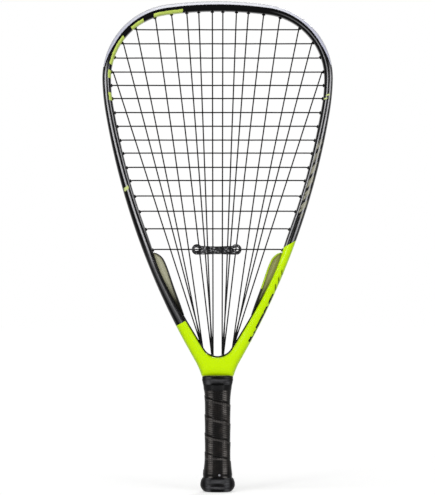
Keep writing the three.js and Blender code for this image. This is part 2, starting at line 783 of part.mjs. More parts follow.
function wormBody() {
  const radius = ringWidth / 2;
  const level = wormBottom + radius;
  const endAt = (last, next, share) =>
    THREE.MathUtils.lerp(mainX(mains[last], level), mainX(mains[next], level), share);
  const left = endAt(wormFrom + 1, wormFrom, wormLeftShare) + radius;
  const right = endAt(wormTo, wormTo + 1, wormRightShare) - radius;
  const meet = Math.asin((wormTop - level) / radius);
  const shape = new THREE.Shape();
  shape.moveTo(left, wormBottom);
  shape.lineTo(right, wormBottom);
  shape.absarc(right, level, radius, -Math.PI / 2, Math.PI - meet, false);
  shape.absarc(left, level, radius, meet, Math.PI * 1.5, false);
  const hole = new THREE.Path();
  hole.absarc(left, level, ringHoleWidth / 2, 0, 2 * Math.PI, true);
  const teardrop = new THREE.Path([[teardropLength / 2, -teardropHeight / 2],
    [teardropLength / 2, teardropHeight / 2], [0, teardropHeight / 4],
    [-teardropLength / 2, 0], [0, -teardropHeight / 2]]
    .map(([x, z]) => new THREE.Vector2(right + x, level + z)));
  shape.holes.push(hole, teardrop);
  const worm = new THREE.ExtrudeGeometry(shape, { depth: wormThickness, bevelEnabled: false,
    curveSegments: wormSegments });
  return bodyOf(worm.rotateX(Math.PI / 2).translate(0, wormPlaneOffset + wormThickness / 2, 0));
}

// Handle: width and depth of the core under the wrap, by share of the handle's height
const coreWidthShares = [[0.12, 1.235], [0.17, 1.155], [0.22, 1.08], [0.27, 1.02], [0.33, 1],
  [0.79, 1], [0.83, 1.02], [0.87, 1.05], [0.93, 1.12]];
const coreDepthShares = [[0.12, 1.165], [0.17, 1.105], [0.22, 1.05], [0.27, 1.01], [0.33, 1],
  [0.93, 1]];
const coreWidth = 25.4;
const coreDepth = 23.9;
const coreCornerWidth = 6;
const palletTopDepth = 12.2;
const palletTop = handleLength - palletTopDepth;

function coreRing(grow, z) {
  const share = z / handleLength;
  return eightSided(coreWidth * shareAt(coreWidthShares, share) + 2 * grow,
    coreDepth * shareAt(coreDepthShares, share) + 2 * grow,
    coreCornerWidth + grow * cornerGrowthShare, z);
}

// A bar of the core's section, with a ring at each knee of its flares.
function coreBar(grow, from, to) {
  const knees = coreWidthShares.map(([share]) => share * handleLength);
  const heights = [from, ...knees.filter(z => z > from && z < to), to];
  return loft(heights.map(z => coreRing(grow, z)), false);
}

function straightBar(ring, from, to) {
  return loft([from, to].map(z => ring.map(point => point.clone().setZ(z))), false);
}

const capHeight = 16.2;
const capWidth = 39.7;
const capDepth = 36;
const capCornerWidth = 10;
const capFloorThickness = 2.8;
const capShares = [[0, 0.71], [0.04, 0.79], [0.14, 0.88], [0.25, 0.945], [0.42, 1], [0.7, 0.985],
  [0.83, 0.96], [1, 0.88]];
const skirtTopHeight = 34;
const skirtWallThickness = 1.3;
const lanyardHoleWidth = 5;
const lanyardSides = 12;

// Section of the pallets where they stand in the cap's socket.
const plugRing = grow => coreRing(grow - skirtWallThickness - clearance, skirtTopHeight);

function capBody() {
  const bulb = loft(capShares.map(([rise, share]) =>
    eightSided(capWidth * share, capDepth * share, capCornerWidth * share, capHeight * rise)), false);
  const lanyard = new THREE.CylinderGeometry(lanyardHoleWidth / 2, lanyardHoleWidth / 2, capHeight,
    lanyardSides).rotateX(Math.PI / 2);
  return bulb.add(coreBar(0, capHeight - capFloorThickness, skirtTopHeight))
    .subtract(straightBar(plugRing(clearance), capFloorThickness, skirtTopHeight + capFloorThickness))
    .subtract(bodyOf(lanyard));
}

function palletBody(side) {
  const joint = skirtTopHeight + clearance;
  const half = new THREE.BoxGeometry(headWidth, headWidth, headWidth)
    .translate(0, side * (headWidth + clearance) / 2, headWidth / 2);
  return straightBar(plugRing(0), capFloorThickness + clearance, joint)
    .add(coreBar(0, joint, palletTop))
    .subtract(neckBody(clearance, 0, handleLength + neckReachLength))
    .intersect(bodyOf(half));
}

// Grip wrap: one strip wound upwards, its upper edge lapped over the turn above
const wrapFootHeight = 0.6;
const wrapTopDepth = 12.8;
const wrapBottom = capHeight + wrapFootHeight;
const wrapTop = handleLength - wrapTopDepth;
const wrapPitch = 21.2;
const wrapThickness = 1.5;
const wrapEdgeThickness = 0.4;
const wrapLapWidth = 2;
const lapLiftHeight = 1.45;
const lapSlopeLength = 5.2;
const edgeSlopeLength = 4.3;
const stepsPerTurn = 24;
const wrapStartStep = 10;
const wrapEndWidth = 8;
const rampSteps = 2;
const wrapSteps = Math.floor(stepsPerTurn
  * (1 + (wrapTop - wrapBottom - 2 * wrapEndWidth + wrapLapWidth) / wrapPitch));
const wrapTurns = wrapSteps / stepsPerTurn;

// Point on the eight-sided core, pushed out, at a share of the way round.
function corePoint(share, grow, z) {
  const ring = coreRing(grow, z);
  const at = THREE.MathUtils.euclideanModulo(share, 1) * ring.length;
  const k = Math.floor(at) % ring.length;
  return ring[k].clone().lerp(ring[(k + 1) % ring.length], at - Math.floor(at));
}

// One section of the strip. Its first turn keeps to the lower end of the grip, its last turn
// to the upper end; two short ramps lead the edges past the strip's own blunt ends.
function wrapRing(turns) {
  const ramp = from => THREE.MathUtils.clamp((turns - from) * stepsPerTurn / rampSteps, 0, 1);
  const upper = wrapBottom + wrapEndWidth + wrapPitch * turns;
  const tucked = upper - wrapPitch - wrapLapWidth;
  const bottom = THREE.MathUtils.lerp(wrapBottom, tucked, ramp(1 - rampSteps / stepsPerTurn));
  const top = THREE.MathUtils.lerp(Math.min(upper, wrapTop), wrapTop, ramp(wrapTurns - 1));
  const share = wrapStartStep / stepsPerTurn - turns;
  return [[bottom, 0], [top - lapSlopeLength, 0], [top, lapLiftHeight],
    [top, lapLiftHeight + wrapEdgeThickness],
    [bottom + edgeSlopeLength, wrapThickness], [bottom, wrapEdgeThickness]]
    .map(([z, lift]) => corePoint(share, clearance + lift, z));
}

const wrapRings = Array.from({ length: wrapSteps + 1 }, (_, k) => wrapRing(k / stepsPerTurn));

// Least distance between the lapping side of each ring and the tucked side one turn on.
function wrapSelfGap() {
  const samples = 12;
  const along = (a, b) => Array.from({ length: samples + 1 }, (_, k) =>
    a.clone().lerp(b, k / samples));
  let least = Infinity;
  wrapRings.slice(stepsPerTurn).forEach((ring, i) => {
    const lower = wrapRings[i];
    const lapping = along(lower[1], lower[2]);
    const tucked = along(ring[0], ring[5]).concat(along(ring[5], ring[4]));
    lapping.forEach(p => tucked.forEach(q => {
      least = Math.min(least, p.distanceTo(q));
    }));
  });
  return least;
}

// Tape, collar and tack
const tapeWidth = 6.6;
const tapeTop = neckBottom - clearance;
const tapeBottom = tapeTop - tapeWidth;
const tapeThickness = 0.5;
const collarWallThickness = 2.05;
const collarFaceThickness = 2.7;
const collarCornerWidth = 8;
const collarEaseWidth = 0.8;
const tackOffset = 2;
const tackRiseHeight = 3.4;
const tackHeight = capHeight + tackRiseHeight;
const tackSides = 8;
const tackHeadWidth = 2.6;
const tackHeadThickness = 0.7;
const tackShankWidth = 1;
const tackLength = 4;

function tapeBody() {
  const inner = clearance + lapLiftHeight + wrapEdgeThickness + clearance;
  const reach = clearance + wrapThickness;
  return coreBar(inner + tapeThickness, tapeBottom, tapeTop)
    .subtract(coreBar(inner, tapeBottom - reach, tapeTop + reach));
}

function collarBody() {
  const [from, to] = [neckBottom + clearance, handleLength - clearance];
  const width = neckWidth + 2 * (clearance + collarWallThickness);
  const depth = neckDepth + 2 * (clearance + collarFaceThickness);
  const ring = (ease, z) => eightSided(width - ease, depth - ease, collarCornerWidth, z);
  const shape = loft([ring(collarEaseWidth, from), ring(0, from + collarEaseWidth),
    ring(0, to - collarEaseWidth), ring(collarEaseWidth, to)], false);
  const hole = eightSided(neckWidth + 2 * clearance, neckDepth + 2 * clearance, neckCornerWidth, 0);
  return shape.subtract(straightBar(hole, from - collarEaseWidth, to + collarEaseWidth));
}

const tackFace = coreDepth / 2 * shareAt(coreDepthShares, tackHeight / handleLength)
  + wrapThickness + 2 * clearance;

function tackBar(radius, from, to) {
  return bodyOf(new THREE.CylinderGeometry(radius, radius, to - from, tackSides)
    .translate(tackOffset, (from + to) / 2, -tackHeight).rotateX(Math.PI));
}

const leather = new THREE.MeshStandardMaterial({ color: 0x1b1a1a, roughness: 0.7 });
const rubber = new THREE.MeshStandardMaterial({ color: 0x151515, roughness: 0.6 });
const foam = new THREE.MeshStandardMaterial({ color: 0xd8d2c0, roughness: 0.8 });
const steel = new THREE.MeshStandardMaterial({ color: 0xc9ccd0, roughness: 0.3, metalness: 1 });

let frame = frameBody();
let liner = linerBody();
ports.forEach(port => {
  const hole = portBar(port, -clearance, portBottom(port) - clearance, crotchHeight + crotchRadius);
  frame = frame.subtract(hole);
  liner = liner.subtract(hole);
  addPiece(port.name, portBody(port, throatOpening), blackPlastic);
});
const tack = tackBar(tackHeadWidth / 2, tackFace, tackFace + tackHeadThickness)
  .add(tackBar(tackShankWidth / 2, tackFace - tackLength, tackFace + tackHeadThickness / 2));
const tackHole = tackBar(tackShankWidth / 2 + clearance, tackFace - tackLength - clearance,
  tackFace + clearance);
addPiece('frame', frame, carbonPaint);
addPiece('throat_liner', liner, blackPlastic);
addPiece('stabiliser_fin_left', finBody(-1), blackPlastic);
addPiece('stabiliser_fin_right', finBody(1), blackPlastic);
addPiece('bumper_guard', guardBody(), clearGuard);
addPiece('grommet_strip_left', stripBody(-1), blackPlastic);
addPiece('grommet_strip_right', stripBody(1), blackPlastic);
addPiece('main_string', cordBody(eased(mainPath())), cordMaterial);
addPiece('cross_string', cordBody(eased(crossPath())), cordMaterial);
addPiece('vibration_dampener', wormBody(), rubber);
addPiece('handle_pallet_front', palletBody(-1), foam);
addPiece('handle_pallet_rear', palletBody(1), foam);
addPiece('butt_cap', capBody().subtract(tackHole), blackPlastic);
addPiece('grip_wrap', loft(wrapRings, false).subtract(tackHole), leather);
addPiece('finishing_tape', tapeBody(), rubber);
addPiece('grip_collar', collarBody(), rubber);
addPiece('grip_tack', tack, steel);
console.log('grip wrap, least gap to itself:', wrapSelfGap().toFixed(2), 'mm');

export default root;
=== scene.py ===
"""Looks of the racquetball racket. Sizes are in millimetres until a mesh is made."""
import math
import bmesh
import bpy
import numpy as np
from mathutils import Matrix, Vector


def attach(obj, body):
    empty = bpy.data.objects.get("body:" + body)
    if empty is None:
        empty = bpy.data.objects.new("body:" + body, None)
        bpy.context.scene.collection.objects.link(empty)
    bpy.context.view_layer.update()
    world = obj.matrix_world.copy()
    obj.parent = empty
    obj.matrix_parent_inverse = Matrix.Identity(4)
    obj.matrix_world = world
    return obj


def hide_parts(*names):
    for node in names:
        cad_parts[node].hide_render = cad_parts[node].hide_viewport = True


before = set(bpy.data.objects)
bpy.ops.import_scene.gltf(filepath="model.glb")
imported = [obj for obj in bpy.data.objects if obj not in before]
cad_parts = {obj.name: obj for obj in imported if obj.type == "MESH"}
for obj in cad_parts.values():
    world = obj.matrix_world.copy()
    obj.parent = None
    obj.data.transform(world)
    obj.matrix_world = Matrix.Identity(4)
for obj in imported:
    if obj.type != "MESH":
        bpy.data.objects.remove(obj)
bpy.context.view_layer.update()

MM = 0.001
rad = math.radians
RIM_MARK = 101  # UVs across a fin reach this on its rim

# Outline of the right half, as arcs from the top: their radii and the turn at each end
HEAD_WIDTH, CROWN_R, SHOULDER_R, SIDE_R, THROAT_R = 262.6, 429.0, 84.7, 267.5, 82.0
SHOULDER_END, SIDE_END, ARM_TURN, THROAT_END = rad(91.75), rad(99.55), rad(119.7), rad(106.2)
CROWN_END = math.asin((HEAD_WIDTH / 2 - SHOULDER_R) / (CROWN_R - SHOULDER_R))
ARM_STRAIGHT, COLLAR_WIDTH, HANDLE_LENGTH = 6.8, 36.2, 131.4
CROTCH_Z, CROTCH_R, ARM_LEAN, LINER = 172.7, 18.0, rad(31), 1.2
# Width and depth of the tube, depths of the string groove and of the guard's recess, and the
# gap between neighbours
TUBE, BEAM, GROOVE, RECESS, GAP = 10.0, 22.0, 3.2, 2.4, 0.3
# By degrees of turn: shares of that width and depth, the places of the two ridges as shares of
# the width, and the depth of the valley between them in millimetres
WIDTH_TABLE = [(0, 1.19), (25, 1.12), (60, 1.03), (90, 1), (96, .98), (101, 1.04), (106, 1.08),
               (109.5, 1.14), (110.6, 1.12), (111.6, 1), (112.8, .95), (114.1, 1.04),
               (115.6, 1.13), (116.6, 1.22), (117.5, 1.28), (118.5, 1.39)]
BEAM_TABLE = [(0, .96), (90, .97), (105, 1), (118.5, 1.08)]
CROTCH_BEAM_SHARE = 1.14  # the depth grows to this share at the crotch
OUTER_RIDGE = [(0, .42), (62, .42), (80, .36), (95, .36), (101, .38), (106, .47), (109, .5),
               (113, .56), (116.5, .62), (118.5, .5)]
INNER_RIDGE = [(0, .66), (80, .64), (95, .66), (101, .69), (106, .75), (109, .79), (112, .84),
               (118.5, .86)]
VALLEY_TABLE = [(0, .3), (60, .6), (104, .6), (109, .45), (112, 0)]
HEAD_END = rad(118.5)


def smooth_table(table, window=1.2):
    """Value of a table by degrees, its corners rounded by a moving cosine window."""
    x = np.arange(-10, 140, 0.05)
    y = np.interp(x, [r[0] for r in table], [r[1] for r in table])
    k = np.hanning(int(window / 0.05) * 2 + 1)
    y = np.convolve(np.pad(y, len(k) // 2, mode="edge"), k / k.sum(), mode="valid")
    return lambda turn: np.interp(np.degrees(turn), x, y)


width_share = smooth_table(WIDTH_TABLE)
beam_share, ridge_outer, ridge_inner, valley_depth = (
    smooth_table(table, 4) for table in (BEAM_TABLE, OUTER_RIDGE, INNER_RIDGE, VALLEY_TABLE))


def outward(turn):
    """Unit normal of the outline at a turn, as (x, z)."""
    return np.stack([np.sin(turn), np.cos(turn)], -1)


def run(radius, a, b):
    """Step along an arc of a radius from turn a to turn b."""
    return radius * (outward(b) - outward(a))


along_arm = np.array([math.cos(ARM_TURN), -math.sin(ARM_TURN)])
throat_run = run(-THROAT_R, ARM_TURN, THROAT_END)
upper_run = (run(CROWN_R, 0, CROWN_END) + run(SHOULDER_R, CROWN_END, SHOULDER_END)
             + run(SIDE_R, SHOULDER_END, SIDE_END))
TAPER_R = ((COLLAR_WIDTH / 2 - upper_run[0] - ARM_STRAIGHT * along_arm[0] - throat_run[0])
           / (math.sin(ARM_TURN) - math.sin(SIDE_END)))
TOP = HANDLE_LENGTH - (upper_run + run(TAPER_R, SIDE_END, ARM_TURN)
                       + ARM_STRAIGHT * along_arm + throat_run)[1]
ARCS, start, a0 = [], np.array([0.0, TOP]), 0.0
for radius, a1 in ((CROWN_R, CROWN_END), (SHOULDER_R, SHOULDER_END), (SIDE_R, SIDE_END),
                   (TAPER_R, ARM_TURN)):
    ARCS.append((radius, a0, a1, start))
    start, a0 = start + run(radius, a0, a1), a1
ARM_FOOT = start


def outline(turn):
    """Points (x, z) of the right half of the outline at an array of turns."""
    turn = np.atleast_1d(np.asarray(turn, float))
    out = np.zeros(turn.shape + (2,))
    for radius, a, b, p in ARCS:
        use = (turn >= a) if b == ARM_TURN else (turn >= a) & (turn <= b)
        out[use] = p + run(radius, a, turn[use])
    return out


def tube_width(turn):
    """Width of the tube seen from the front, at turns."""
    return TUBE * width_share(turn)


def inner(turn):
    """Inner edge of the tube at an array of turns."""
    return outline(turn) - outward(np.atleast_1d(turn)) * tube_width(turn)[:, None]


def turn_where(measure, target, a, b):
    """Turn between a and b at which a rising or falling measure meets its target."""
    rising = measure(b) > measure(a)
    for _ in range(40):
        m = (a + b) / 2
        if (measure(m) < target) == rising:
            a = m
        else:
            b = m
    return (a + b) / 2


# Rows of crosses: the first one's distance from the top, their pitch, and each gap's share of it
FIRST_CROSS, CROSS_PITCH = 30.9, 15.8
CROSS_GAPS = [1.04, 1.06, 1.04, .98, .95, 1.02, .99, 1, .94, 1.03, .95, 1.12, 1.1, 1.27, 1.49]
cross_z = TOP - FIRST_CROSS - CROSS_PITCH * np.concatenate([[0], np.cumsum(CROSS_GAPS)])
cross_turn = [turn_where(lambda t: inner(np.array([t]))[0, 1], z, CROWN_END, ARM_TURN)
              for z in cross_z]
# Main holes of the crown as shares of half the width; the outer mains share holes of crosses
CROWN_SHARES, SHARED = (.0457, .1637, .2673, .3998, .543), [3, 1, 0]
crown_turn = [turn_where(lambda t: inner(np.array([t]))[0, 0], s * HEAD_WIDTH / 2, 0,
                         SHOULDER_END / 2) for s in CROWN_SHARES]
main_turn = [cross_turn[i] for i in SHARED] + crown_turn[::-1]

# Turns at which the guard starts to thin and ends, the step in the tube after it, the end of
# the grommet band, and where the groove starts to fade and is gone
RAMP, GUARD_END = rad(62), rad(80)
GUARD_GAP = GUARD_END + GAP / SHOULDER_R
GUARD_STEP = GUARD_GAP + 1.5 / SHOULDER_R
BAND_END = cross_turn[-1] + 5 / TAPER_R
FADE = BAND_END + GAP / TAPER_R
FADE_END = FADE + 14 / TAPER_R


def recess(turn):
    """Depth of the recess for the guard: it ends in a ramp and a step."""
    return RECESS * np.interp(turn, [RAMP, GUARD_GAP, GUARD_STEP], [1, .5, 0])


def lap(turn):
    """How far the guard's lap reaches in over the face, in millimetres."""
    return np.interp(turn, [RAMP, GUARD_END], [4.2, 1.7])


def groove(turn):
    """Depth of the string groove below the recess; it fades out down the arm."""
    return GROOVE * np.interp(turn, [FADE, FADE_END], [1, 0])


def fan_outer(drop):
    """Where rays from the crotch centre leave the throat, or meet the level of the collar."""
    low = HANDLE_LENGTH
    r = np.linspace(-ARM_STRAIGHT, ARM_STRAIGHT + THROAT_R * (ARM_TURN - math.pi / 2), 400)
    straight = ARM_FOOT + np.outer(np.minimum(r, ARM_STRAIGHT), along_arm)
    turn = ARM_TURN - np.maximum(r - ARM_STRAIGHT, 0) / THROAT_R
    p = straight - THROAT_R * (outward(turn) - outward(ARM_TURN))
    angle = np.arctan2(CROTCH_Z - p[:, 1], p[:, 0])
    q = np.stack([np.interp(drop, angle, p[:, 0]), np.interp(drop, angle, p[:, 1])], -1)
    flat = np.stack([(CROTCH_Z - low) / np.tan(drop), np.full(drop.shape, low)], -1)
    return np.where((q[:, 1:] > low) & (drop < angle[-1])[:, None], q, flat)


def stations(turns, fan):
    """The right half: turns down the head and arm, then rays dropping round the crotch."""
    o1, i1 = outline(turns), inner(turns)
    ray = np.stack([np.cos(fan), -np.sin(fan)], -1)
    i2 = np.array([0, CROTCH_Z]) + (CROTCH_R + LINER + GAP) * ray
    share = (fan - ARM_LEAN) / (math.pi / 2 - ARM_LEAN)
    zero = np.zeros(len(fan))
    deep = np.interp(share, [0, 1], [BEAM_TABLE[-1][1], CROTCH_BEAM_SHARE])
    return dict(outer=np.concatenate([o1, fan_outer(fan)]), inner=np.concatenate([i1, i2]),
                half=BEAM / 2 * np.concatenate([beam_share(turns), deep]),
                groove=np.concatenate([groove(turns), zero]),
                recess=np.concatenate([recess(turns), zero]),
                plain=np.concatenate([0 * turns, share]),
                turn=np.concatenate([turns, ARM_TURN + zero]))


def rounded(section, times):
    """Closed sections with their corners cut: each pass keeps a quarter and three quarters."""
    for _ in range(times):
        nxt = np.roll(section, -1, 1)
        section = np.stack([.75 * section + .25 * nxt, .25 * section + .75 * nxt], 2)
        section = section.reshape(section.shape[0], -1, section.shape[-1])
    return section


def stack(pairs, n):
    """Half a section from (distance in, distance off the mid plane) pairs, then its mirror."""
    half = np.stack([np.stack(np.broadcast_arrays(a, v, np.zeros(n))[:2], -1) for a, v in pairs], 1)
    return np.concatenate([half, (half * [1, -1])[:, ::-1]], 1)


def tube_section(s):
    """Two rounded ridges with a valley between them; the valley fades down the arm and the
    ridges flatten round the throat. Under the guard the outer face steps in by the recess."""
    h, g, r, w, pl = s["half"], s["groove"], s["recess"], width_of(s), s["plain"]
    one = np.maximum(ridge_outer(s["turn"]) * w, (r > 0) * (lap(s["turn"]) + .5))
    two = np.maximum(ridge_inner(s["turn"]) * w, one + 1.6)
    sink = valley_depth(s["turn"]) * (1 - pl)
    low = h - (1 - pl) * (.2 + .5 * (sink < .1))
    rise = lambda f: r + .05 + f * (one - r - .05)
    fall = lambda f: two + f * (w - two)
    return stack([(r + g, 3.4), (r + g, 3.5), (r + .1, 3.55), (r + .05, 4.1), (rise(.1), h * .6),
                  (rise(.3), h * .84), (rise(.6), h - .55), (rise(.85), h - .05), (one + .25, h),
                  (one + .7, h - .05 - .1 * sink), ((one + two) / 2, h - .1 - sink),
                  (two - .7, low - .05 - .1 * sink), (two, low), (fall(.35), low - .12),
                  (fall(.75), h * .86), (fall(.95), h * .62), (w, h * .3)], len(h))


def width_of(s):
    """Distance from the outer to the inner edge at each station."""
    return np.linalg.norm(s["inner"] - s["outer"], axis=1)


def place(s, section):
    """Space points of sections (distance in, off the mid plane) laid at the stations."""
    inward = (s["inner"] - s["outer"]) / width_of(s)[:, None]
    xz = s["outer"][:, None] + inward[:, None] * section[..., :1]
    return np.stack([xz[..., 0], section[..., 1], xz[..., 1]], -1)


def mirror(points):
    """Right half plus its mirror image, as one row of rings from the left to the right."""
    return np.concatenate([(points * [-1, 1, 1])[:0:-1], points])


def grid(rings, hoop=False, uv=None):
    """Skin over rings of equally many points: quads from each ring to the next, closed round
    each ring; the row of rings is closed too (hoop) or ends in flat faces. UVs are per corner."""
    n, m = rings.shape[:2]
    i, j = np.meshgrid(np.arange(n if hoop else n - 1), np.arange(m), indexing="ij")
    rows = np.stack([i, i, i + 1, i + 1], -1).reshape(-1, 4)
    cols = np.stack([j, j + 1, j + 1, j], -1).reshape(-1, 4)
    faces = (rows % n) * m + cols % m
    corner = None if uv is None else uv[rows, cols].reshape(-1, 2)
    faces = faces.tolist()
    if not hoop:
        faces += [list(range(m))[::-1], list(range((n - 1) * m, n * m))]
        if uv is not None:
            corner = np.concatenate([corner, uv[0, :m][::-1], uv[-1, :m]])
    return rings.reshape(-1, 3), faces, corner


def piece(name, grids, material, *nodes, smooth=40):
    """One object from several skins, in metres, its faces turned outwards."""
    mesh = bpy.data.meshes.new(name)
    verts, faces, corners, base = [], [], [], 0
    for v, f, uv in grids:
        verts.append(v)
        faces += [[k + base for k in face] for face in f]
        corners.append(uv)
        base += len(v)
    mesh.from_pydata((np.concatenate(verts) * MM).tolist(), [], faces)
    if corners[0] is not None:
        layer = mesh.uv_layers.new(name="run")
        layer.data.foreach_set("uv", np.concatenate(corners).astype(np.float32).ravel())
    return dress(name, mesh, material, nodes, smooth)


def dress(name, mesh, material, nodes, smooth=40):
    """Turns the faces outwards, shades them and hands the object to the frame."""
    bm = bmesh.new()
    bm.from_mesh(mesh)
    bmesh.ops.recalc_face_normals(bm, faces=bm.faces)
    bm.to_mesh(mesh)
    bm.free()
    mesh.shade_smooth()
    mesh.set_sharp_from_angle(angle=rad(smooth))
    mesh.materials.append(material)
    obj = bpy.data.objects.new(name, mesh)
    bpy.context.collection.objects.link(obj)
    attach(obj, "root")
    if nodes:
        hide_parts(*nodes)
    return obj


def circle(n):
    """Angles of n equal steps round a full turn."""
    return np.arange(n) * 2 * math.pi / n


def cord_grid(path, radius, step=1.2, sides=8, closed=False, aside=(0, 1.0, 0)):
    """Round cord along points: the path is resampled at equal steps and its corners are
    averaged away; each ring is radius (cos, sin) in the plane square to the path, turned
    from a direction to which the path never runs parallel."""
    if closed:
        path = np.concatenate([path, path[:1]])
    run_to = np.concatenate([[0], np.cumsum(np.linalg.norm(np.diff(path, axis=0), axis=1))])
    at = np.linspace(0, run_to[-1], int(run_to[-1] / step) + 2)
    p = np.stack([np.interp(at, run_to, path[:, k]) for k in range(3)], -1)
    for _ in range(2):
        if closed:
            p[-1] = p[0]
            p = (.5 * p + .25 * np.concatenate([p[-2:-1], p[:-1]])
                 + .25 * np.concatenate([p[1:], p[1:2]]))
        else:
            p[1:-1] = .5 * p[1:-1] + .25 * p[:-2] + .25 * p[2:]
    if closed:
        p = p[:-1]
        tangent = np.roll(p, -1, 0) - np.roll(p, 1, 0)
    else:
        tangent = np.gradient(p, axis=0)
    tangent /= np.linalg.norm(tangent, axis=1)[:, None]
    aside = np.array(aside)
    normal = aside - tangent * (tangent @ aside)[:, None]
    normal /= np.linalg.norm(normal, axis=1)[:, None]
    side = np.cross(tangent, normal)
    a = circle(sides)
    rings = p[:, None] + radius * (np.cos(a)[None, :, None] * normal[:, None]
                                   + np.sin(a)[None, :, None] * side[:, None])
    return grid(rings, hoop=closed)


# Materials
def linear(hex_colour):
    """sRGB hex to linear red, green, blue and an alpha of 1."""
    c = np.array([int(hex_colour[k:k + 2], 16) for k in (0, 2, 4)]) / 255
    return tuple(np.where(c > .04045, ((c + .055) / 1.055) ** 2.4, c / 12.92)) + (1.0,)


def finish(name):
    """A new node material and its emptied tree."""
    m = bpy.data.materials.new(name)
    m.use_nodes = True
    m.node_tree.nodes.clear()
    return m, m.node_tree


def add(tree, kind, *terms, **named):
    """A node. A kind in capitals is an operation of the Math node, and after a full stop stands
    the data type. What goes in stands in the order of the sockets, or by a socket's name in
    small letters: a number or colour is set on the socket, a node or socket is linked. Other
    names are settings."""
    kind, _, word = kind.partition(".")
    node = tree.nodes.new("ShaderNode" + ("Math" if kind.isupper() else kind))
    if kind.isupper():
        node.operation = kind
    if word:
        node.data_type = word
    sockets = [s for s in node.inputs if s.enabled]
    names = [s.name.lower().replace(" ", "_") for s in sockets]
    pairs = list(zip(sockets, terms))
    for name, value in named.items():
        if name in names:
            pairs.append((sockets[names.index(name)], value))
        else:
            setattr(node, name, value)
    for socket, source in pairs:
        if isinstance(source, str):
            source = linear(source)
        if isinstance(source, (int, float, tuple)):
            socket.default_value = source
        else:
            if hasattr(source, "outputs"):
                source = next(s for s in source.outputs if s.enabled)
            tree.links.new(source, socket)
    return node


def stops(node, rows):
    """Colour stops of a ramp: (place, hex colour or grey level)."""
    ramp = node.color_ramp
    while len(ramp.elements) < len(rows):
        ramp.elements.new(1)
    for element, (at, c) in zip(ramp.elements, rows):
        element.position = at
        element.color = linear(c) if isinstance(c, str) else (c, c, c, 1)
    return node


def near(tree, value, centre, inner, outer):
    """1 within inner of the centre, fading smoothly to 0 at outer."""
    off = add(tree, "ABSOLUTE", add(tree, "SUBTRACT", value, centre))
    return add(tree, "MapRange", off, outer, inner, interpolation_type="SMOOTHSTEP")


def surface(m, t, colour, roughness, ior, specular, height, strength, distance):
    """The finished material: a shader with its colour and gloss, and a bump of the height
    pattern, distance metres high."""
    bump = add(t, "Bump", strength=strength, distance=distance, height=height)
    add(t, "OutputMaterial", add(t, "BsdfPrincipled", colour, roughness=roughness, ior=ior,
                                 specular_ior_level=specular, normal=bump))
    return m


# Charcoal stripes of the tube: half width, then the line and the strength on the left and the
# right half, each as (run in mm, share in from the outer edge or strength)
STRIPES = [
    (.12, [(170, .38), (228, .39), (262, .44), (310, .52), (357, .53), (392, .55), (430, .58),
           (470, .6)],
     [(170, .27), (228, .33), (262, .37), (310, .36), (357, .3)],
     [(158, 0), (176, 1), (370, .95), (405, .33), (470, .24)],
     [(158, 0), (178, .85), (240, .95), (350, .75), (376, .5)]),
    (.08, [(170, .67), (228, .74), (262, .8), (310, .83), (357, .88)],
     [(100, .68), (170, .62), (228, .66), (262, .72), (310, .78), (357, .8)],
     [(160, 0), (176, .62), (300, .6), (350, .5), (386, 0)],
     [(60, 0), (110, .3), (165, .45), (190, .9), (250, .85), (376, .7)]),
    (.27, [(380, .48), (470, .56)], [(0, .5), (500, .5)],
     [(370, 0), (400, .13), (470, .12)], [(0, 0), (500, 0)])]
LONGEST_RUN = 500


def stripes(tree, u, v, on_left):
    """Strength of the stripes: each keeps to its line, and comes and goes along the run."""
    reach = add(tree, "MULTIPLY", add(tree, "ABSOLUTE", u), 1 / LONGEST_RUN)
    total = 0
    for wide, *tables in STRIPES:
        left, right, left_level, right_level = (
            stops(add(tree, "ValToRGB", reach), [(k / LONGEST_RUN, c) for k, c in rows])
            for rows in tables)
        centre = add(tree, "Mix.FLOAT", on_left, right, left)
        level = add(tree, "Mix.FLOAT", on_left, right_level, left_level)
        one = add(tree, "MULTIPLY", near(tree, v, centre, .2 * wide, wide), level)
        total = add(tree, "MAXIMUM", one, total)
    return total


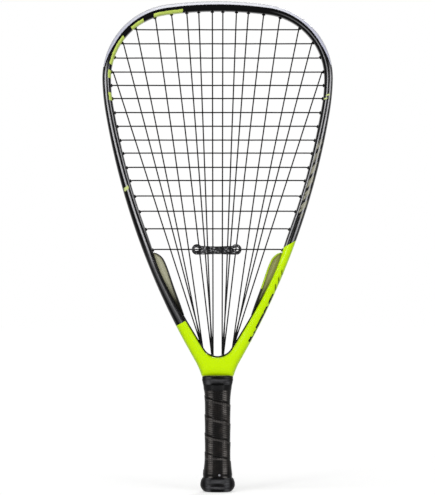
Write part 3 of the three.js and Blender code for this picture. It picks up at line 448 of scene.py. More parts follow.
def lacquered_carbon():
    """Gloss black lacquer with sprayed lime fields and charcoal stripes over a moulded carbon
    tube: a deep black, and an even, saturated lime under the same clear coat."""
    m, t = finish("lacquered_carbon")
    place = add(t, "TexCoord").outputs["Object"]
    x, y, z = add(t, "SeparateXYZ", place).outputs
    u, v, _ = add(t, "SeparateXYZ", add(t, "UVMap", uv_map="run")).outputs
    on_left = add(t, "LESS_THAN", x, 0)
    cloud = add(t, "TexNoise", place, scale=260, detail=4, roughness=.7)
    # Lime fields: below a slanting edge on each arm, lower on the left arm than on the right
    left, right = (add(t, "LESS_THAN", add(t, "MULTIPLY_ADD", x, lean, z), level)
                   for lean, level in ((-.52, .21355), (-.565, .23574)))
    field = add(t, "Mix.FLOAT", on_left, right, left)
    # Flashes on the inner side of the upper left, duller than the fields, with worn edges
    slant = add(t, "MULTIPLY_ADD", v, 4, add(t, "ADD", u, 206))
    flash = stops(add(t, "ValToRGB", add(t, "MULTIPLY", slant, 1 / 200)), [
        (0, 0), (.015, 1), (.062, 0), (.147, 1), (.198, 0), (.232, 1), (.428, 0), (.5, 1),
        (.592, 0), (.662, 1), (.842, 0)])
    flash.color_ramp.interpolation = "CONSTANT"
    wear_and_highlight = add(t, "MULTIPLY_ADD", cloud, .12, add(t, "ADD", v, -.07))
    flash = add(t, "MULTIPLY", flash, add(t, "GREATER_THAN", wear_and_highlight, .645))
    # Small pale ticks as (run, share in, half height, half width), slanting across the tube
    tick = 0
    for at, mid, tall, wide in ((-309, .4, .27, 2.0), (199.5, .5, .22, .9), (204, .72, .2, .9)):
        lean = add(t, "MULTIPLY_ADD", v, -4, add(t, "ADD", u, 4 * mid))
        one = add(t, "MULTIPLY", near(t, lean, at, wide * .6, wide * 1.3),
                  near(t, v, mid, tall * .8, tall * 1.1))
        tick = add(t, "MAXIMUM", one, tick)
    # Black flecks along the outer edge of the right arm, about 8 mm long, and slanting strokes
    fleck_at = add(t, "CombineXYZ", add(t, "MULTIPLY", u, .13), v)
    fleck = add(t, "TexNoise", fleck_at, scale=1, detail=3)
    edge = add(t, "MINIMUM", add(t, "MULTIPLY_ADD", fleck, 1.8, -.6), .24)
    fleck = add(t, "MULTIPLY", add(t, "LESS_THAN", v, edge),
                add(t, "COMPARE", u, 472, 36))
    stroke_at = add(t, "PINGPONG", add(t, "MULTIPLY_ADD", v, 20, u), 4.6)
    stroke = add(t, "MULTIPLY", add(t, "LESS_THAN", stroke_at, 1.6),
                 add(t, "COMPARE", u, 419, 14))
    stroke = add(t, "MULTIPLY", stroke, add(t, "LESS_THAN", wear_and_highlight, .34))
    dark = add(t, "MAXIMUM", fleck, add(t, "MULTIPLY", stroke, .8))
    # They stay off the outer wall of the tube
    off_mid = add(t, "MULTIPLY_ADD", cloud, .004, add(t, "ABSOLUTE", y))
    dark = add(t, "MULTIPLY", dark, add(t, "GREATER_THAN", off_mid, .0085))
    # Stripes, and over them an olive mist in slanting streaks about 15 mm apart on the right arm
    line = stripes(t, u, v, on_left)
    line = add(t, "MULTIPLY", line, add(t, "MULTIPLY_ADD", cloud, .5, .75))
    grey = add(t, "Mix.RGBA", line, "020203", "bcbcbf")
    slanted = add(t, "MULTIPLY_ADD", v, -.5, add(t, "MULTIPLY", u, .11))
    streak_at = add(t, "CombineXYZ", slanted, add(t, "MULTIPLY", v, 1.6))
    streak = add(t, "TexNoise", streak_at, scale=1, detail=3, roughness=.65)
    mist = add(t, "MULTIPLY", near(t, u, 297, 40, 62), near(t, v, .46, .16, .44))
    gap_at = add(t, "PINGPONG", add(t, "MULTIPLY_ADD", v, -18, u), 7.5)
    mist = add(t, "MULTIPLY", mist, near(t, gap_at, 7.5, 4.2, 6.4))
    mist = stops(add(t, "ValToRGB", add(t, "MULTIPLY", mist, streak)),
                 [(0, 0), (.34, 0), (.52, .62), (1, .9)])
    black = add(t, "Mix.RGBA", mist, grey, "b4b29c")
    # Painted highlight: the lime is a little lighter on its last millimetre above the collar
    rim = add(t, "LESS_THAN", z, (HANDLE_LENGTH + 1.3) * MM)
    lime = add(t, "Mix.RGBA", dark, add(t, "Mix.RGBA", rim, "c3ea04", "e6ff6a"), "0a0c02")
    dull = add(t, "Mix.RGBA", cloud, "9aae44", "dcf07a")
    base = add(t, "Mix.RGBA", tick, add(t, "Mix.RGBA", flash, black, dull), "ccd98a")
    base = add(t, "Mix.RGBA", field, base, lime)
    wear = add(t, "TexNoise", place, scale=35, detail=5)
    rough = add(t, "MapRange", wear, .3, .7, .15, .24)
    # Orange peel of the sprayed lacquer, about 1.5 mm from dimple to dimple
    peel = add(t, "TexNoise", place, scale=650, detail=1)
    return surface(m, t, base, roughness=rough, ior=1.5, specular=.07, height=peel, strength=.03,
                   distance=.0003)


def milky_nylon():
    """Moulded natural nylon: a milky lilac-grey satin, painted lighter towards the crown and near
    white along its outer wall as painted light; a faint painted shade line runs just inside that
    wall."""
    m, t = finish("milky_nylon")
    place = add(t, "TexCoord").outputs["Object"]
    flow = add(t, "TexNoise", place, scale=60, detail=4)
    # Painted light: the tone grows lighter with height, towards the crown
    lit_by_height = add(t, "MULTIPLY_ADD", flow, .02, add(t, "SeparateXYZ", place).outputs[2])
    tone = stops(add(t, "ValToRGB", add(t, "MULTIPLY_ADD", lit_by_height, 12, -5.75)),
                 [(0, "8d8ea0"), (.35, "abacbf"), (.8, "bfc0ce"), (1, "e2e3ea")])
    share = add(t, "SeparateXYZ", add(t, "UVMap", uv_map="run")).outputs[1]
    # Painted light: near white along the outer wall
    outer_wall_light = stops(add(t, "ValToRGB", share), [(.04, .7), (.2, 0)])
    tone = add(t, "Mix.RGBA", outer_wall_light, tone, "fafafc")
    # Painted shade: a faint darker line just inside the outer wall
    painted_shade_line = add(t, "MULTIPLY", near(t, share, .08, .015, .06), .5)
    tone = add(t, "Mix.RGBA", painted_shade_line, tone, "84858f")
    return surface(m, t, tone, roughness=.35, ior=1.53, specular=.4, height=flow, strength=.1,
                   distance=.0003)


def moulded(name, low, high, roughness, scale, depth):
    """Moulded plastic, rubber or foam: two near tones in soft clouds and a grain of the given
    scale (per metre) and depth (metres)."""
    m, t = finish(name)
    place = add(t, "TexCoord").outputs["Object"]
    cloud = add(t, "TexNoise", place, scale=scale / 8, detail=4)
    tone = add(t, "Mix.RGBA", cloud, low, high)
    grain = add(t, "TexNoise", place, scale=scale, detail=3, roughness=.6)
    rough = add(t, "MapRange", grain, .3, .7, roughness - .06, roughness + .06)
    return surface(m, t, tone, roughness=rough, ior=1.5, specular=.06, height=grain, strength=.4,
                   distance=depth)


def multifilament():
    """Black coated multifilament nylon string: a faint twist of the outer fibres every 6 mm,
    drawn coarser than the real one, which would not show."""
    m, t = finish("multifilament_string")
    place = add(t, "TexCoord").outputs["Object"]
    twist = add(t, "TexWave", place, scale=105, distortion=1, detail=1,
                bands_direction="DIAGONAL")
    tone = add(t, "Mix.RGBA", twist, "030304", "0c0c0d")
    return surface(m, t, tone, roughness=.4, ior=1.5, specular=.1, height=twist, strength=.25,
                   distance=.0002)


def fin_plastic(name, dark, light, upper_rim):
    """Moulded satin plastic of the scooped fins, streaked along its length where the melt ran
    and darker downwards, with a near-black rim whose upper part has a colour of its own."""
    m, t = finish(name)
    u, v, _ = add(t, "SeparateXYZ", add(t, "UVMap", uv_map="run")).outputs
    streak_at = add(t, "CombineXYZ", add(t, "MULTIPLY", u, .05),
                    add(t, "MULTIPLY", v, 1.5))
    streak = add(t, "TexNoise", streak_at, scale=1, detail=4, roughness=.7)
    low = add(t, "MapRange", u, 415, 462, interpolation_type="SMOOTHSTEP")
    fade = add(t, "SUBTRACT", add(t, "MULTIPLY_ADD", streak, .9, .45), low)
    tone = stops(add(t, "ValToRGB", fade), [(0, dark), (.9, light)])
    rim = add(t, "GREATER_THAN", v, RIM_MARK - 1)
    upper = add(t, "MULTIPLY", rim, add(t, "LESS_THAN", u, 436))
    base = add(t, "Mix.RGBA", upper, add(t, "Mix.RGBA", rim, tone, "0c0c0b"), upper_rim)
    add(t, "OutputMaterial", add(t, "BsdfPrincipled", base, roughness=.38, ior=1.5,
                                 specular_ior_level=.3))
    return m


def handle_sides(t, place, inner, outer):
    """Distances from the two upright mid planes, the height, and 1 along the middle of the
    left and right sides of the handle, fading from inner to outer."""
    x, y, z = add(t, "SeparateXYZ", place).outputs
    x, y = add(t, "ABSOLUTE", x), add(t, "ABSOLUTE", y)
    return x, y, z, add(t, "MULTIPLY", near(t, y, 0, inner, outer),
                        add(t, "GREATER_THAN", x, .0085))


def grip_leather():
    """Tacky embossed synthetic leather: ribs 2.4 mm apart across the strip, rows of small
    holes punched 2.2 mm apart, and a black ground with a grey, slightly brown painted highlight
    over the corners of the handle, most of all on the tops of the ribs."""
    m, t = finish("grip_leather")
    uv = add(t, "UVMap", uv_map="run")
    place = add(t, "TexCoord").outputs["Object"]
    across = add(t, "SeparateXYZ", uv).outputs[1]
    rib = add(t, "SINE", add(t, "MULTIPLY", across, 2 * math.pi / 2.4))
    holes = add(t, "TexVoronoi", uv, scale=.45, randomness=0)
    punched = add(t, "LESS_THAN", holes, .17)
    grain = add(t, "TexNoise", place, scale=900, detail=3)
    height = add(t, "MULTIPLY_ADD", rib, .6, add(t, "MULTIPLY", grain, .25))
    height = add(t, "SUBTRACT", height, add(t, "MULTIPLY", punched, .5))
    cloud = add(t, "TexNoise", place, scale=70, detail=4)
    tone = stops(add(t, "ValToRGB", cloud), [(.3, "050505"), (.55, "12100f"), (.75, "241e1c")])
    # Painted highlight on the corners of the eight-sided handle, front and rear, and on its sides
    x, y, _, side = handle_sides(t, place, .003, .0062)
    face = add(t, "MULTIPLY", near(t, x, .0083, .0004, .0038),
               add(t, "GREATER_THAN", y, .0085))
    patch = add(t, "TexNoise", add(t, "Mapping", place, scale=(70, 70, 130)), scale=1, detail=3,
                roughness=.6)
    patch = stops(add(t, "ValToRGB", patch), [(.36, .3), (.62, 1)])
    painted_highlight = add(t, "MULTIPLY", add(t, "MAXIMUM", face, side),
                 add(t, "MULTIPLY", patch, add(t, "MULTIPLY_ADD", rib, .2, .44)))
    # The painted highlight runs along the free upper edge of the strip too, and is held off just
    # over the lap, which stays dark as painted shade
    edge = add(t, "MULTIPLY", near(t, across, 21.4, .5, 1.7),
               add(t, "MULTIPLY", patch, .24))
    painted_highlight = add(t, "MAXIMUM", painted_highlight, edge)
    clear_of_lap_shade = add(t, "SUBTRACT", 1, near(t, across, 2.9, .5, 1.6))
    painted_highlight = add(t, "MULTIPLY", painted_highlight, clear_of_lap_shade)
    base = add(t, "Mix.RGBA", punched, add(t, "Mix.RGBA", painted_highlight, tone, "8c8784"), "040404")
    rough = add(t, "MapRange", grain, .3, .7, .26, .38)
    return surface(m, t, base, roughness=rough, ior=1.48, specular=.07, height=height, strength=1,
                   distance=.00014)


def butt_rubber(levels):
    """Satin black rubber of collar and cap: near black, with a charcoal painted highlight on the
    corners of the eight sides and in soft bands at the given levels, (height, half width) in
    millimetres."""
    m, t = finish("butt_rubber")
    place = add(t, "TexCoord").outputs["Object"]
    x, _, z, side = handle_sides(t, place, .001, .0042)
    # Painted highlight: charcoal on the corners and along the middle of the left and right sides
    wear_and_highlight = add(t, "MAXIMUM", near(t, x, .0108, .0005, .005), side)
    middle = near(t, x, 0, .005, .0165)
    # Painted highlight bands across the middle at the given levels
    for height, half in levels:
        band = near(t, z, height * MM, .2 * half * MM, half * MM)
        wear_and_highlight = add(t, "MAXIMUM", wear_and_highlight, add(t, "MULTIPLY", band, middle))
    cloud = add(t, "TexNoise", add(t, "Mapping", place, scale=(70, 70, 330)), scale=1, detail=4,
                roughness=.65)
    patch = stops(add(t, "ValToRGB", cloud), [(.36, .155), (.64, .62)])
    base = add(t, "Mix.RGBA", add(t, "MULTIPLY", wear_and_highlight, patch), "060607", "646467")
    grain = add(t, "TexNoise", place, scale=1300, detail=2)
    return surface(m, t, base, roughness=.34, ior=1.5, specular=.04, height=grain, strength=.4,
                   distance=.0001)


def silicone_rubber():
    """Silicone rubber face of the dampener: charcoal with rubbed, paler flecks some 3 mm long."""
    m, t = finish("silicone_rubber")
    place = add(t, "TexCoord").outputs["Object"]
    fleck = add(t, "TexNoise", add(t, "Mapping", place, scale=(330, 330, 520)), scale=1,
                detail=3, roughness=.7)
    tone = stops(add(t, "ValToRGB", fleck), [(.44, "080809"), (.56, "3c3c3e"), (.66, "a8a8aa")])
    return surface(m, t, tone, roughness=.5, ior=1.45, specular=.12, height=fleck, strength=.3,
                   distance=.0002)


def blued_steel():
    """Blued steel tack: dark, with fine turning marks and one bright glint."""
    m, t = finish("blued_steel")
    place = add(t, "TexCoord").outputs["Object"]
    marks = add(t, "TexNoise", place, scale=1500, detail=2)
    rough = add(t, "MapRange", marks, 0, 1, .2, .34)
    add(t, "OutputMaterial", add(t, "BsdfPrincipled", "77777b", 1, rough))
    return m


# Frame: one closed hoop over the head, down the arms and round the crotch
head_turns = np.unique(np.concatenate([np.linspace(0, HEAD_END, 275),
                                       [RAMP, GUARD_GAP, GUARD_STEP]]))
fan_drops = np.linspace(ARM_LEAN, math.pi / 2, 80)
ring = stations(head_turns, fan_drops)
mid = .5 * (ring["outer"] + ring["inner"])
head_step, fan_step = (np.linalg.norm(np.diff(line, axis=0), axis=1)
                       for line in (ring["outer"][:len(head_turns)], mid))
head_run = np.concatenate([[0], np.cumsum(head_step)])
fan_run = head_run[-1] + np.cumsum(fan_step)[len(head_turns) - 1:]
ring_run = np.concatenate([head_run, fan_run])


def run_uv(run_to, section, width):
    """UVs of both halves: the signed run along the outline and the share in from its edge."""
    share = section[..., 0] / width[:, None]
    run_to = np.broadcast_to(run_to[:, None], share.shape)
    uv = np.concatenate([np.stack([-run_to, share], -1)[:0:-1], np.stack([run_to, share], -1)])
    return np.concatenate([uv, uv[:, :1]], 1)


def frame_grid():
    """The moulded tube: each section rounded twice."""
    section = rounded(tube_section(ring), 2)
    points = mirror(place(ring, section))[:-1]
    return grid(points, hoop=True, uv=run_uv(ring_run, section, width_of(ring)))


def octagon(width, depth, corner, z):
    """Corners of eight-sided rings, anticlockwise from +X; every size may be an array."""
    x, y, c, z = np.broadcast_arrays(np.asarray(width) / 2, np.asarray(depth) / 2, corner, z)
    flat = [(x, y - c), (x - c, y), (c - x, y), (-x, y - c), (-x, c - y), (c - x, -y),
            (x - c, -y), (x, c - y)]
    return np.stack([np.stack([a, b, z + 0 * x], -1) for a, b in flat], -2)


def soft_octagon(rings, shares, reach=.035):
    """Points at shares of the way round each eight-sided ring, the corners rounded by averaging
    the outline over a short window."""
    total = 0
    for offset, weight in zip(np.linspace(-1, 1, 7), (1, 2, 3, 4, 3, 2, 1)):
        at = np.mod(shares + offset * reach, 1) * 8
        k = np.floor(at).astype(int) % 8
        f = (at - np.floor(at))[..., None]
        here = np.take_along_axis(rings, k[..., None], -2)
        after = np.take_along_axis(rings, (k[..., None] + 1) % 8, -2)
        total = total + weight / 16 * (here + (after - here) * f)
    return total


def soft_bar(rings, points=96, reach=.07, hoop=True):
    """Skin over eight-sided rings with soft corners: a sleeve closed on itself, or a bar with
    flat ends."""
    shares = np.broadcast_to(np.arange(points) / points, (len(rings), points))
    return grid(soft_octagon(rings, shares, reach), hoop)


def bevelled(rows, steps=6):
    """Rows between the given ones on a smooth curve through them: a cubic from each row to the
    next, whose slope at a row is half the way from the row before it to the row after it."""
    rows = np.array(rows, float)
    p = np.concatenate([rows[:1], rows, rows[-1:]])
    t = np.linspace(0, 1, steps, endpoint=False)[None, :, None]
    a, b, c, d = (p[k:len(p) - 3 + k][:, None] for k in range(4))
    curve = .5 * (2 * b + (c - a) * t + (2 * a - 5 * b + 4 * c - d) * t ** 2
                  + (3 * b - a - 3 * c + d) * t ** 3)
    return np.concatenate([curve.reshape(-1, rows.shape[1]), rows[-1:]])


# Shaft under the handle: rows of width, depth, corner and height, from the throat down
NECK = (31.0, 22.5, 5.5)
NECK_Z = HANDLE_LENGTH - 10
shaft = [(*NECK, HANDLE_LENGTH + .6), (*NECK, NECK_Z + .6), (24.2, 17.6, 4.3, NECK_Z),
         (20, 16, 3.5, NECK_Z - 13), (20, 16, 3.5, 4)]
piece("moulded_frame", [frame_grid()], lacquered_carbon(), "frame")
piece("frame_shaft", [soft_bar(octagon(*np.array(shaft, float).T), reach=.035, hoop=False)],
      moulded("bare_carbon", "141415", "232325", .45, 900, .0001), "frame")

# Bumper guard, grommet strips and the barrels that line the string holes
HOLES = np.concatenate([crown_turn, cross_turn])
# A hole that two strings share is a slot, this much deeper than it is wide
DEPTH_SHARE = np.ones(len(HOLES))
DEPTH_SHARE[len(crown_turn) + np.array(SHARED)] = 1.7
# Radii of a barrel's bore and wall, and how far it stands out inside the head
BORE, WALL, LIP = 1.25, 1.9, 1.3


def floor_at(turn):
    """Depth of the bottom of the groove below the outline."""
    return recess(turn) + groove(turn)


def barrels(turns, deep, side):
    """Bored barrels square to the outline: a closed profile (distance in, radius) turned
    round each hole, with a small rounded lip at the mouth."""
    turns = np.asarray(turns)
    back, end = floor_at(turns) - GAP - .5, tube_width(turns) + LIP
    profile = [(back, BORE), (back, WALL), (end - .45, WALL), (end - .12, WALL - .12),
               (end, WALL - .4), (end, BORE)]
    d = np.stack([np.broadcast_to(p[0], turns.shape) for p in profile], 1)[:, :, None]
    r = np.array([p[1] for p in profile])[None, :, None]
    a = circle(14)
    out = outward(turns)[:, None, None]
    along = np.stack([np.cos(turns), -np.sin(turns)], -1)[:, None, None]
    xz = outline(turns)[:, None, None] - out * d[..., None] + along * (r * np.cos(a))[..., None]
    y = (r * np.sin(a)) * np.asarray(deep)[:, None, None] + 0 * d
    points = np.stack([xz[..., 0] * side, y, xz[..., 1]], -1)
    return [grid(p, hoop=True) for p in points]


def guard_grid():
    """Outer skin, lap over the face and web in the groove; the ramp ends flush with the tube."""
    turns = np.linspace(0, GUARD_END, 240)
    s = dict(half=BEAM / 2 * beam_share(turns), outer=outline(turns), inner=inner(turns),
             groove=groove(turns), recess=recess(turns))
    f = s["recess"] / RECESS
    web = s["recess"] + s["groove"] - GAP
    under = s["recess"] - GAP
    reach = lap(turns)
    h = s["half"]
    section = stack([(web - 1, 2.4), (.2, 2.6), (0, 3.2), (.3 + .5 * f, h * .82),
                     (reach * .5, h - .1), (reach, h), (reach - .05, h - .5),
                     (np.minimum(under + 1.4, reach - .4), h * .8), (under, 3.7), (web, 3.2)],
                    len(turns))
    section = rounded(section, 2)
    run_to = np.interp(turns, head_turns, head_run)
    return grid(mirror(place(s, section)), uv=run_uv(run_to, section, width_of(s)))


def strip_grid(side):
    """Flat band in the bottom of the groove."""
    turns = np.linspace(GUARD_STEP, BAND_END, 160)
    s = dict(outer=outline(turns), inner=inner(turns))
    web = floor_at(turns) - GAP
    section = stack([(web - 1, 2.9), (web - .85, 3.2), (web, 3.2)], len(turns))
    return grid(place(s, rounded(section, 1)) * [side, 1, 1])


held = HOLES < GUARD_END
nylon = milky_nylon()
black_nylon = moulded("black_nylon", "060607", "0f0f10", .42, 1400, .0001)
both = [g for side in (1, -1) for g in barrels(HOLES[held], DEPTH_SHARE[held], side)]
piece("bumper_guard_skin", [guard_grid()], nylon, "bumper_guard")
piece("crown_barrels", both, black_nylon, "bumper_guard")
for name, side in (("left", -1), ("right", 1)):
    grids = [strip_grid(side)] + barrels(HOLES[~held], DEPTH_SHARE[~held], side)
    piece("grommet_band_" + name, grids, black_nylon, "grommet_strip_" + name)

# Fins and liner of the throat
# Width of a fin as a share of the widest, by degrees of turn
FIN_TABLE = np.array([(111.15, .12), (111.35, .5), (111.7, .85), (112.1, 1), (112.9, 1),
                      (114.2, .74), (115.6, .46), (116.6, .18)])
FIN_WIDTH, FIN_HALF, RIM_WIDTH = 9, 6.6, 1.9


def fin_grid(side):
    """Scooped insert along the tube: the face sinks from the tube and rises to a rim on the
    string side; UVs hold the run and, from RIM_MARK, the rim."""
    turns = rad(1) * np.linspace(FIN_TABLE[0, 0], FIN_TABLE[-1, 0], 120)
    rows = bevelled(FIN_TABLE, 24)
    wide = FIN_WIDTH * np.interp(np.degrees(turns), rows[:, 0], rows[:, 1])
    s = dict(outer=outline(turns), inner=inner(turns))
    w = width_of(s)
    scoop = np.maximum(wide - RIM_WIDTH, .4 * wide)
    # Shares of the scoop's or the rim's width, and of the half depth
    shape = [(0, .99), (.06, .96), (.2, .84), (.45, .7), (.7, .66), (.92, .7), (1, .76)]
    rim = [(.08, .86), (.3, .93), (.62, .93), (.9, .84), (1, .66), (1, .3)]
    foot = w + .05
    pairs = [(foot + scoop * a, FIN_HALF * v) for a, v in shape] \
        + [(foot + scoop + (wide - scoop) * a, FIN_HALF * v) for a, v in rim]
    section = stack(pairs, len(turns))
    points = place(s, section) * [side, 1, 1]
    key = np.array([a * 8 for a, _ in shape] + [RIM_MARK + a for a, _ in rim])
    key = np.concatenate([key, key[::-1]])
    run_to = np.interp(turns, head_turns, head_run)
    uv = np.stack(np.broadcast_arrays(run_to[:, None], key[None]), -1)
    return grid(points, uv=np.concatenate([uv, uv[:, :1]], 1))


LINER_TOP = rad(116.605)  # the liner starts here on the arm


def liner_grid():
    """Thin strip with rounded edges, from the right arm round the crotch to the left arm."""
    s = stations(np.linspace(LINER_TOP, HEAD_END, 18), fan_drops)
    w = width_of(s)
    section = stack([(w + .05, 6.1), (w + .25, 6.4), (w + .65, 6.5), (w + 1, 6.3),
                     (w + 1.1, 5.8)], len(w))
    right = place(s, section)
    return grid(np.concatenate([right, (right * [-1, 1, 1])[-2::-1]]))


for name, side, *colours in (("left", -1, "1e1d15", "9e9d83", "0c0c0b"),
                             ("right", 1, "191c06", "7d8040", "b4d51c")):
    piece("scooped_fin_" + name, [fin_grid(side)], fin_plastic("fin_plastic_" + name, *colours),
          "stabiliser_fin_" + name)
piece("throat_lining", [liner_grid()], black_nylon, "throat_liner")

# Strings: one long string for the mains and one for the crosses; thickness as it looks, and
# how far a string swings off the mid plane where it meets another
STRING, SWING = 1.5, .76
# Number of mains, the lowest cross, and the mains that go round the worm
MAINS, LAST, WORM_MAINS = 16, 15, range(3, 12)
# Throat ports: places of their pins, radius at which a string goes round a pin, and how far
# to either side of a port's middle its strings come in
PORT_X, PIN_Z, TURN_R, FOOT_R = [-18.2, -5.9, 5.9, 18.2], [160, 147.5, 147.5, 160], 1.75, .76
# Depth off the mid plane of two strings in one hole, and of the loops in the ports
APART = .9
# The worm is the dampener: levels of its edges, its place in depth and the half depth that the
# strings go round it
WORM_TOP, WORM_LOW, WORM_Y, WORM_HALF = 279.5, 269.7, -.8, 1.95
# From the bottom of the groove out to a string's middle: over the grommet band, 1 mm thick
CORD_DROP = GAP + 1 + GAP + STRING / 2


def spot(turn, depth, y):
    """Spots inside the outline at signed turns: negative on the left half."""
    turn = np.atleast_1d(turn)
    a = np.abs(turn)
    p = outline(a) - outward(a) * np.broadcast_to(depth, a.shape)[:, None]
    return np.stack([np.sign(turn) * p[:, 0], np.broadcast_to(y, a.shape), p[:, 1]], -1)


def mouth(turn, y):
    """Where a string leaves its barrel, inside the head."""
    return spot(turn, tube_width(abs(turn)) + LIP + STRING / 2, y)


def groove_path(a, b, ya, yb):
    """String in the groove from one hole to the next, over the slope at the guard's end."""
    turn = np.linspace(a, b, 24)
    floor = groove(np.abs(turn)) + RECESS * np.interp(np.abs(turn), [RAMP, GUARD_END], [1, 0])
    return spot(turn, floor - CORD_DROP, np.linspace(ya, yb, 24))


def woven(a, b, knots):
    """From point a to b in the string plane; the depth swings from knot to knot (height or
    place along x, depth) on cosine arcs."""
    t = np.linspace(0, 1, 240)[:, None]
    p = a + (b - a) * t
    axis = 2 if abs(b[2] - a[2]) > abs(b[0] - a[0]) else 0
    key = np.array([a[axis]] + [k for k, _ in knots] + [b[axis]])
    y = np.array([a[1]] + [v for _, v in knots] + [b[1]])
    order = np.argsort(key)
    key, y = key[order], y[order]
    at = p[:, axis]
    k = np.clip(np.searchsorted(key, at) - 1, 0, len(key) - 2)
    f = np.clip((at - key[k]) / (key[k + 1] - key[k]), 0, 1)
    p[:, 1] = y[k] + (y[k + 1] - y[k]) * (1 - np.cos(math.pi * f)) / 2
    return p


def throat_height(x, lift):
    """Height over the inner surface of the throat at distances from the middle: a circle round
    the crotch centre, then straight up the arms, both raised square to the surface by the lift."""
    r = CROTCH_R + LINER + GAP - lift
    touch = r * math.cos(ARM_LEAN)
    x = np.abs(x)
    on_arm = CROTCH_Z - r * math.sin(ARM_LEAN) + (x - touch) / math.tan(ARM_LEAN)
    return np.where(x < touch, CROTCH_Z - np.sqrt(np.maximum(r ** 2 - x ** 2, 0)), on_arm)


mains = []
for i in range(MAINS):
    left, slot = i < MAINS / 2, min(i, MAINS - 1 - i)
    turn, y = (-1 if left else 1) * main_turn[slot], APART if slot < len(SHARED) else 0
    x, hand, loop_y = PORT_X[i // 4], 1 if i % 2 else -1, APART if i % 4 < 2 else -APART
    foot = np.array([x + hand * FOOT_R, loop_y, throat_height(x, 1.4)])
    mains.append(dict(turn=turn, y=y, port=i // 4, loop=loop_y, foot=foot, mouth=mouth(turn, y)[0]))
swing_front, swing_back = WORM_Y - WORM_HALF, WORM_Y + WORM_HALF + STRING + GAP


def main_x(m, z):
    """Place along x of a main at a height."""
    top, foot = m["mouth"], m["foot"]
    return top[0] + (z - top[2]) / (foot[2] - top[2]) * (foot[0] - top[0])


def meets(i, j):
    """Whether cross j lies clear below the mouth of main i, so that the two cross."""
    return cross_z[j] < mains[i]["mouth"][2] - 4


def side_of(i, j):
    """Depth of main i where it meets cross j: in front and behind in turn."""
    return -SWING if (i + j) % 2 else SWING


def main_line(i):
    """One main from its mouth to its port, swinging round each cross and round the worm."""
    knots = [(cross_z[j], side_of(i, j)) for j in range(LAST) if meets(i, j)]
    if i in WORM_MAINS:
        y = swing_front if side_of(i, LAST) < 0 else swing_back
        knots += [(WORM_TOP + STRING, y), (WORM_LOW - STRING, y)]
    else:
        knots += [(cross_z[LAST], side_of(i, LAST))]
    return woven(mains[i]["mouth"], mains[i]["foot"], knots)


def tail(turn):
    """Turn taken up by the free end of a string, 5 mm long."""
    return 5 / (TAPER_R if abs(turn) > SIDE_END else SHOULDER_R)


def main_route():
    """The long string: down one main, round a pin, up the next, along the groove, and so on."""
    first = mains[0]
    path = [groove_path(first["turn"] + tail(first["turn"]), first["turn"], first["y"], first["y"])]
    for i, m in enumerate(mains):
        if i % 2 == 0:
            a = math.pi + np.linspace(0, math.pi, 14)
            x, z = PORT_X[m["port"]], PIN_Z[m["port"]]
            pin = np.stack([x + TURN_R * np.cos(a), m["loop"] + 0 * a, z + TURN_R * np.sin(a)], -1)
            path += [main_line(i), pin]
        else:
            last = i == MAINS - 1
            after = m["turn"] + tail(m["turn"]) if last else mains[i + 1]["turn"]
            y = m["y"] if last else mains[i + 1]["y"]
            path += [main_line(i)[::-1], groove_path(m["turn"], after, m["y"], y)]
    return np.concatenate(path)


def cross_line(j):
    """One cross from the left to the right, opposite in depth to every main that it meets."""
    y = -APART if j in SHARED else 0
    at_worm = WORM_MAINS if j == LAST else ()
    under = lambda i: WORM_Y + WORM_HALF if i in at_worm else -side_of(i, j)
    knots = [(main_x(m, cross_z[j]), under(i)) for i, m in enumerate(mains) if meets(i, j)]
    return woven(mouth(-cross_turn[j], y)[0], mouth(cross_turn[j], y)[0], knots)


def cross_route():
    """The cross string, from the top row down, turned in the groove at alternate ends."""
    depth = [-APART if j in SHARED else 0 for j in range(LAST + 1)] + [0]
    path = [groove_path(-cross_turn[0] + tail(0), -cross_turn[0], -APART, -APART)]
    for j, turn in enumerate(cross_turn):
        side = -1 if j % 2 else 1
        path.append(cross_line(j)[::side])
        after = cross_turn[j + 1] if j < LAST else turn - tail(turn)
        path.append(groove_path(side * turn, side * after, depth[j], depth[j + 1]))
    return np.concatenate(path)


string = multifilament()
for name, route in (("main_string", main_route()), ("cross_string", cross_route())):
    piece(name + "_round", [cord_grid(route, STRING / 2)], string, name, smooth=80)


def port_grids(x):
    """Rim of a throat port: a round bead along an oval laid on the inner surface of the throat,
    and a dished plate inside it through which the strings go down."""
    a = circle(48)
    wide, deep = 3.6 * np.cos(a), 2.7 * np.sin(a)
    oval = lambda share, lift: np.stack([x + share * wide, share * deep,
                                         throat_height(x + share * wide, lift)], -1)
    rows = (.02, .6), (.4, .7), (.8, .95), (1, 1), (1, .3), (.02, .2)
    plate = np.stack([oval(*row) for row in rows])
    return [cord_grid(oval(1, .8), .5, .6, 10, closed=True, aside=(0, 0, 1.0)), grid(plate)]


for node, x in zip(("outer_left", "inner_left", "inner_right", "outer_right"), PORT_X):
    piece("port_rim_" + node, port_grids(x), black_nylon, "throat_port_" + node)


def worm_outline(grow):
    """Closed outline of the worm, pushed out: two rings joined by a strip whose edges draw in
    towards its middle on cosine arcs."""
    r, left, right = 6.1, -23.4, 21.2
    level, mid, reach = WORM_LOW + r, (left + right) / 2, (right - left) / 2
    a = np.linspace(-.42 * math.pi, .8 * math.pi, 60)
    r += grow
    cap = np.stack([right + r * np.cos(a), level + r * np.sin(a)], -1)
    top = np.linspace(cap[-1, 0], 2 * mid - cap[-1, 0], 40)[1:-1]
    dip = .55 * (1 + np.cos(math.pi * np.clip((top - mid) / (.8 * reach), -1, 1))) / 2
    over = np.stack([top, cap[-1, 1] - dip], -1)
    under = np.stack([top[::-1], cap[0, 1] + dip], -1)
    other = (cap * [-1, 1] + [2 * mid, 0])[::-1]
    return np.concatenate([cap, over, other, under])


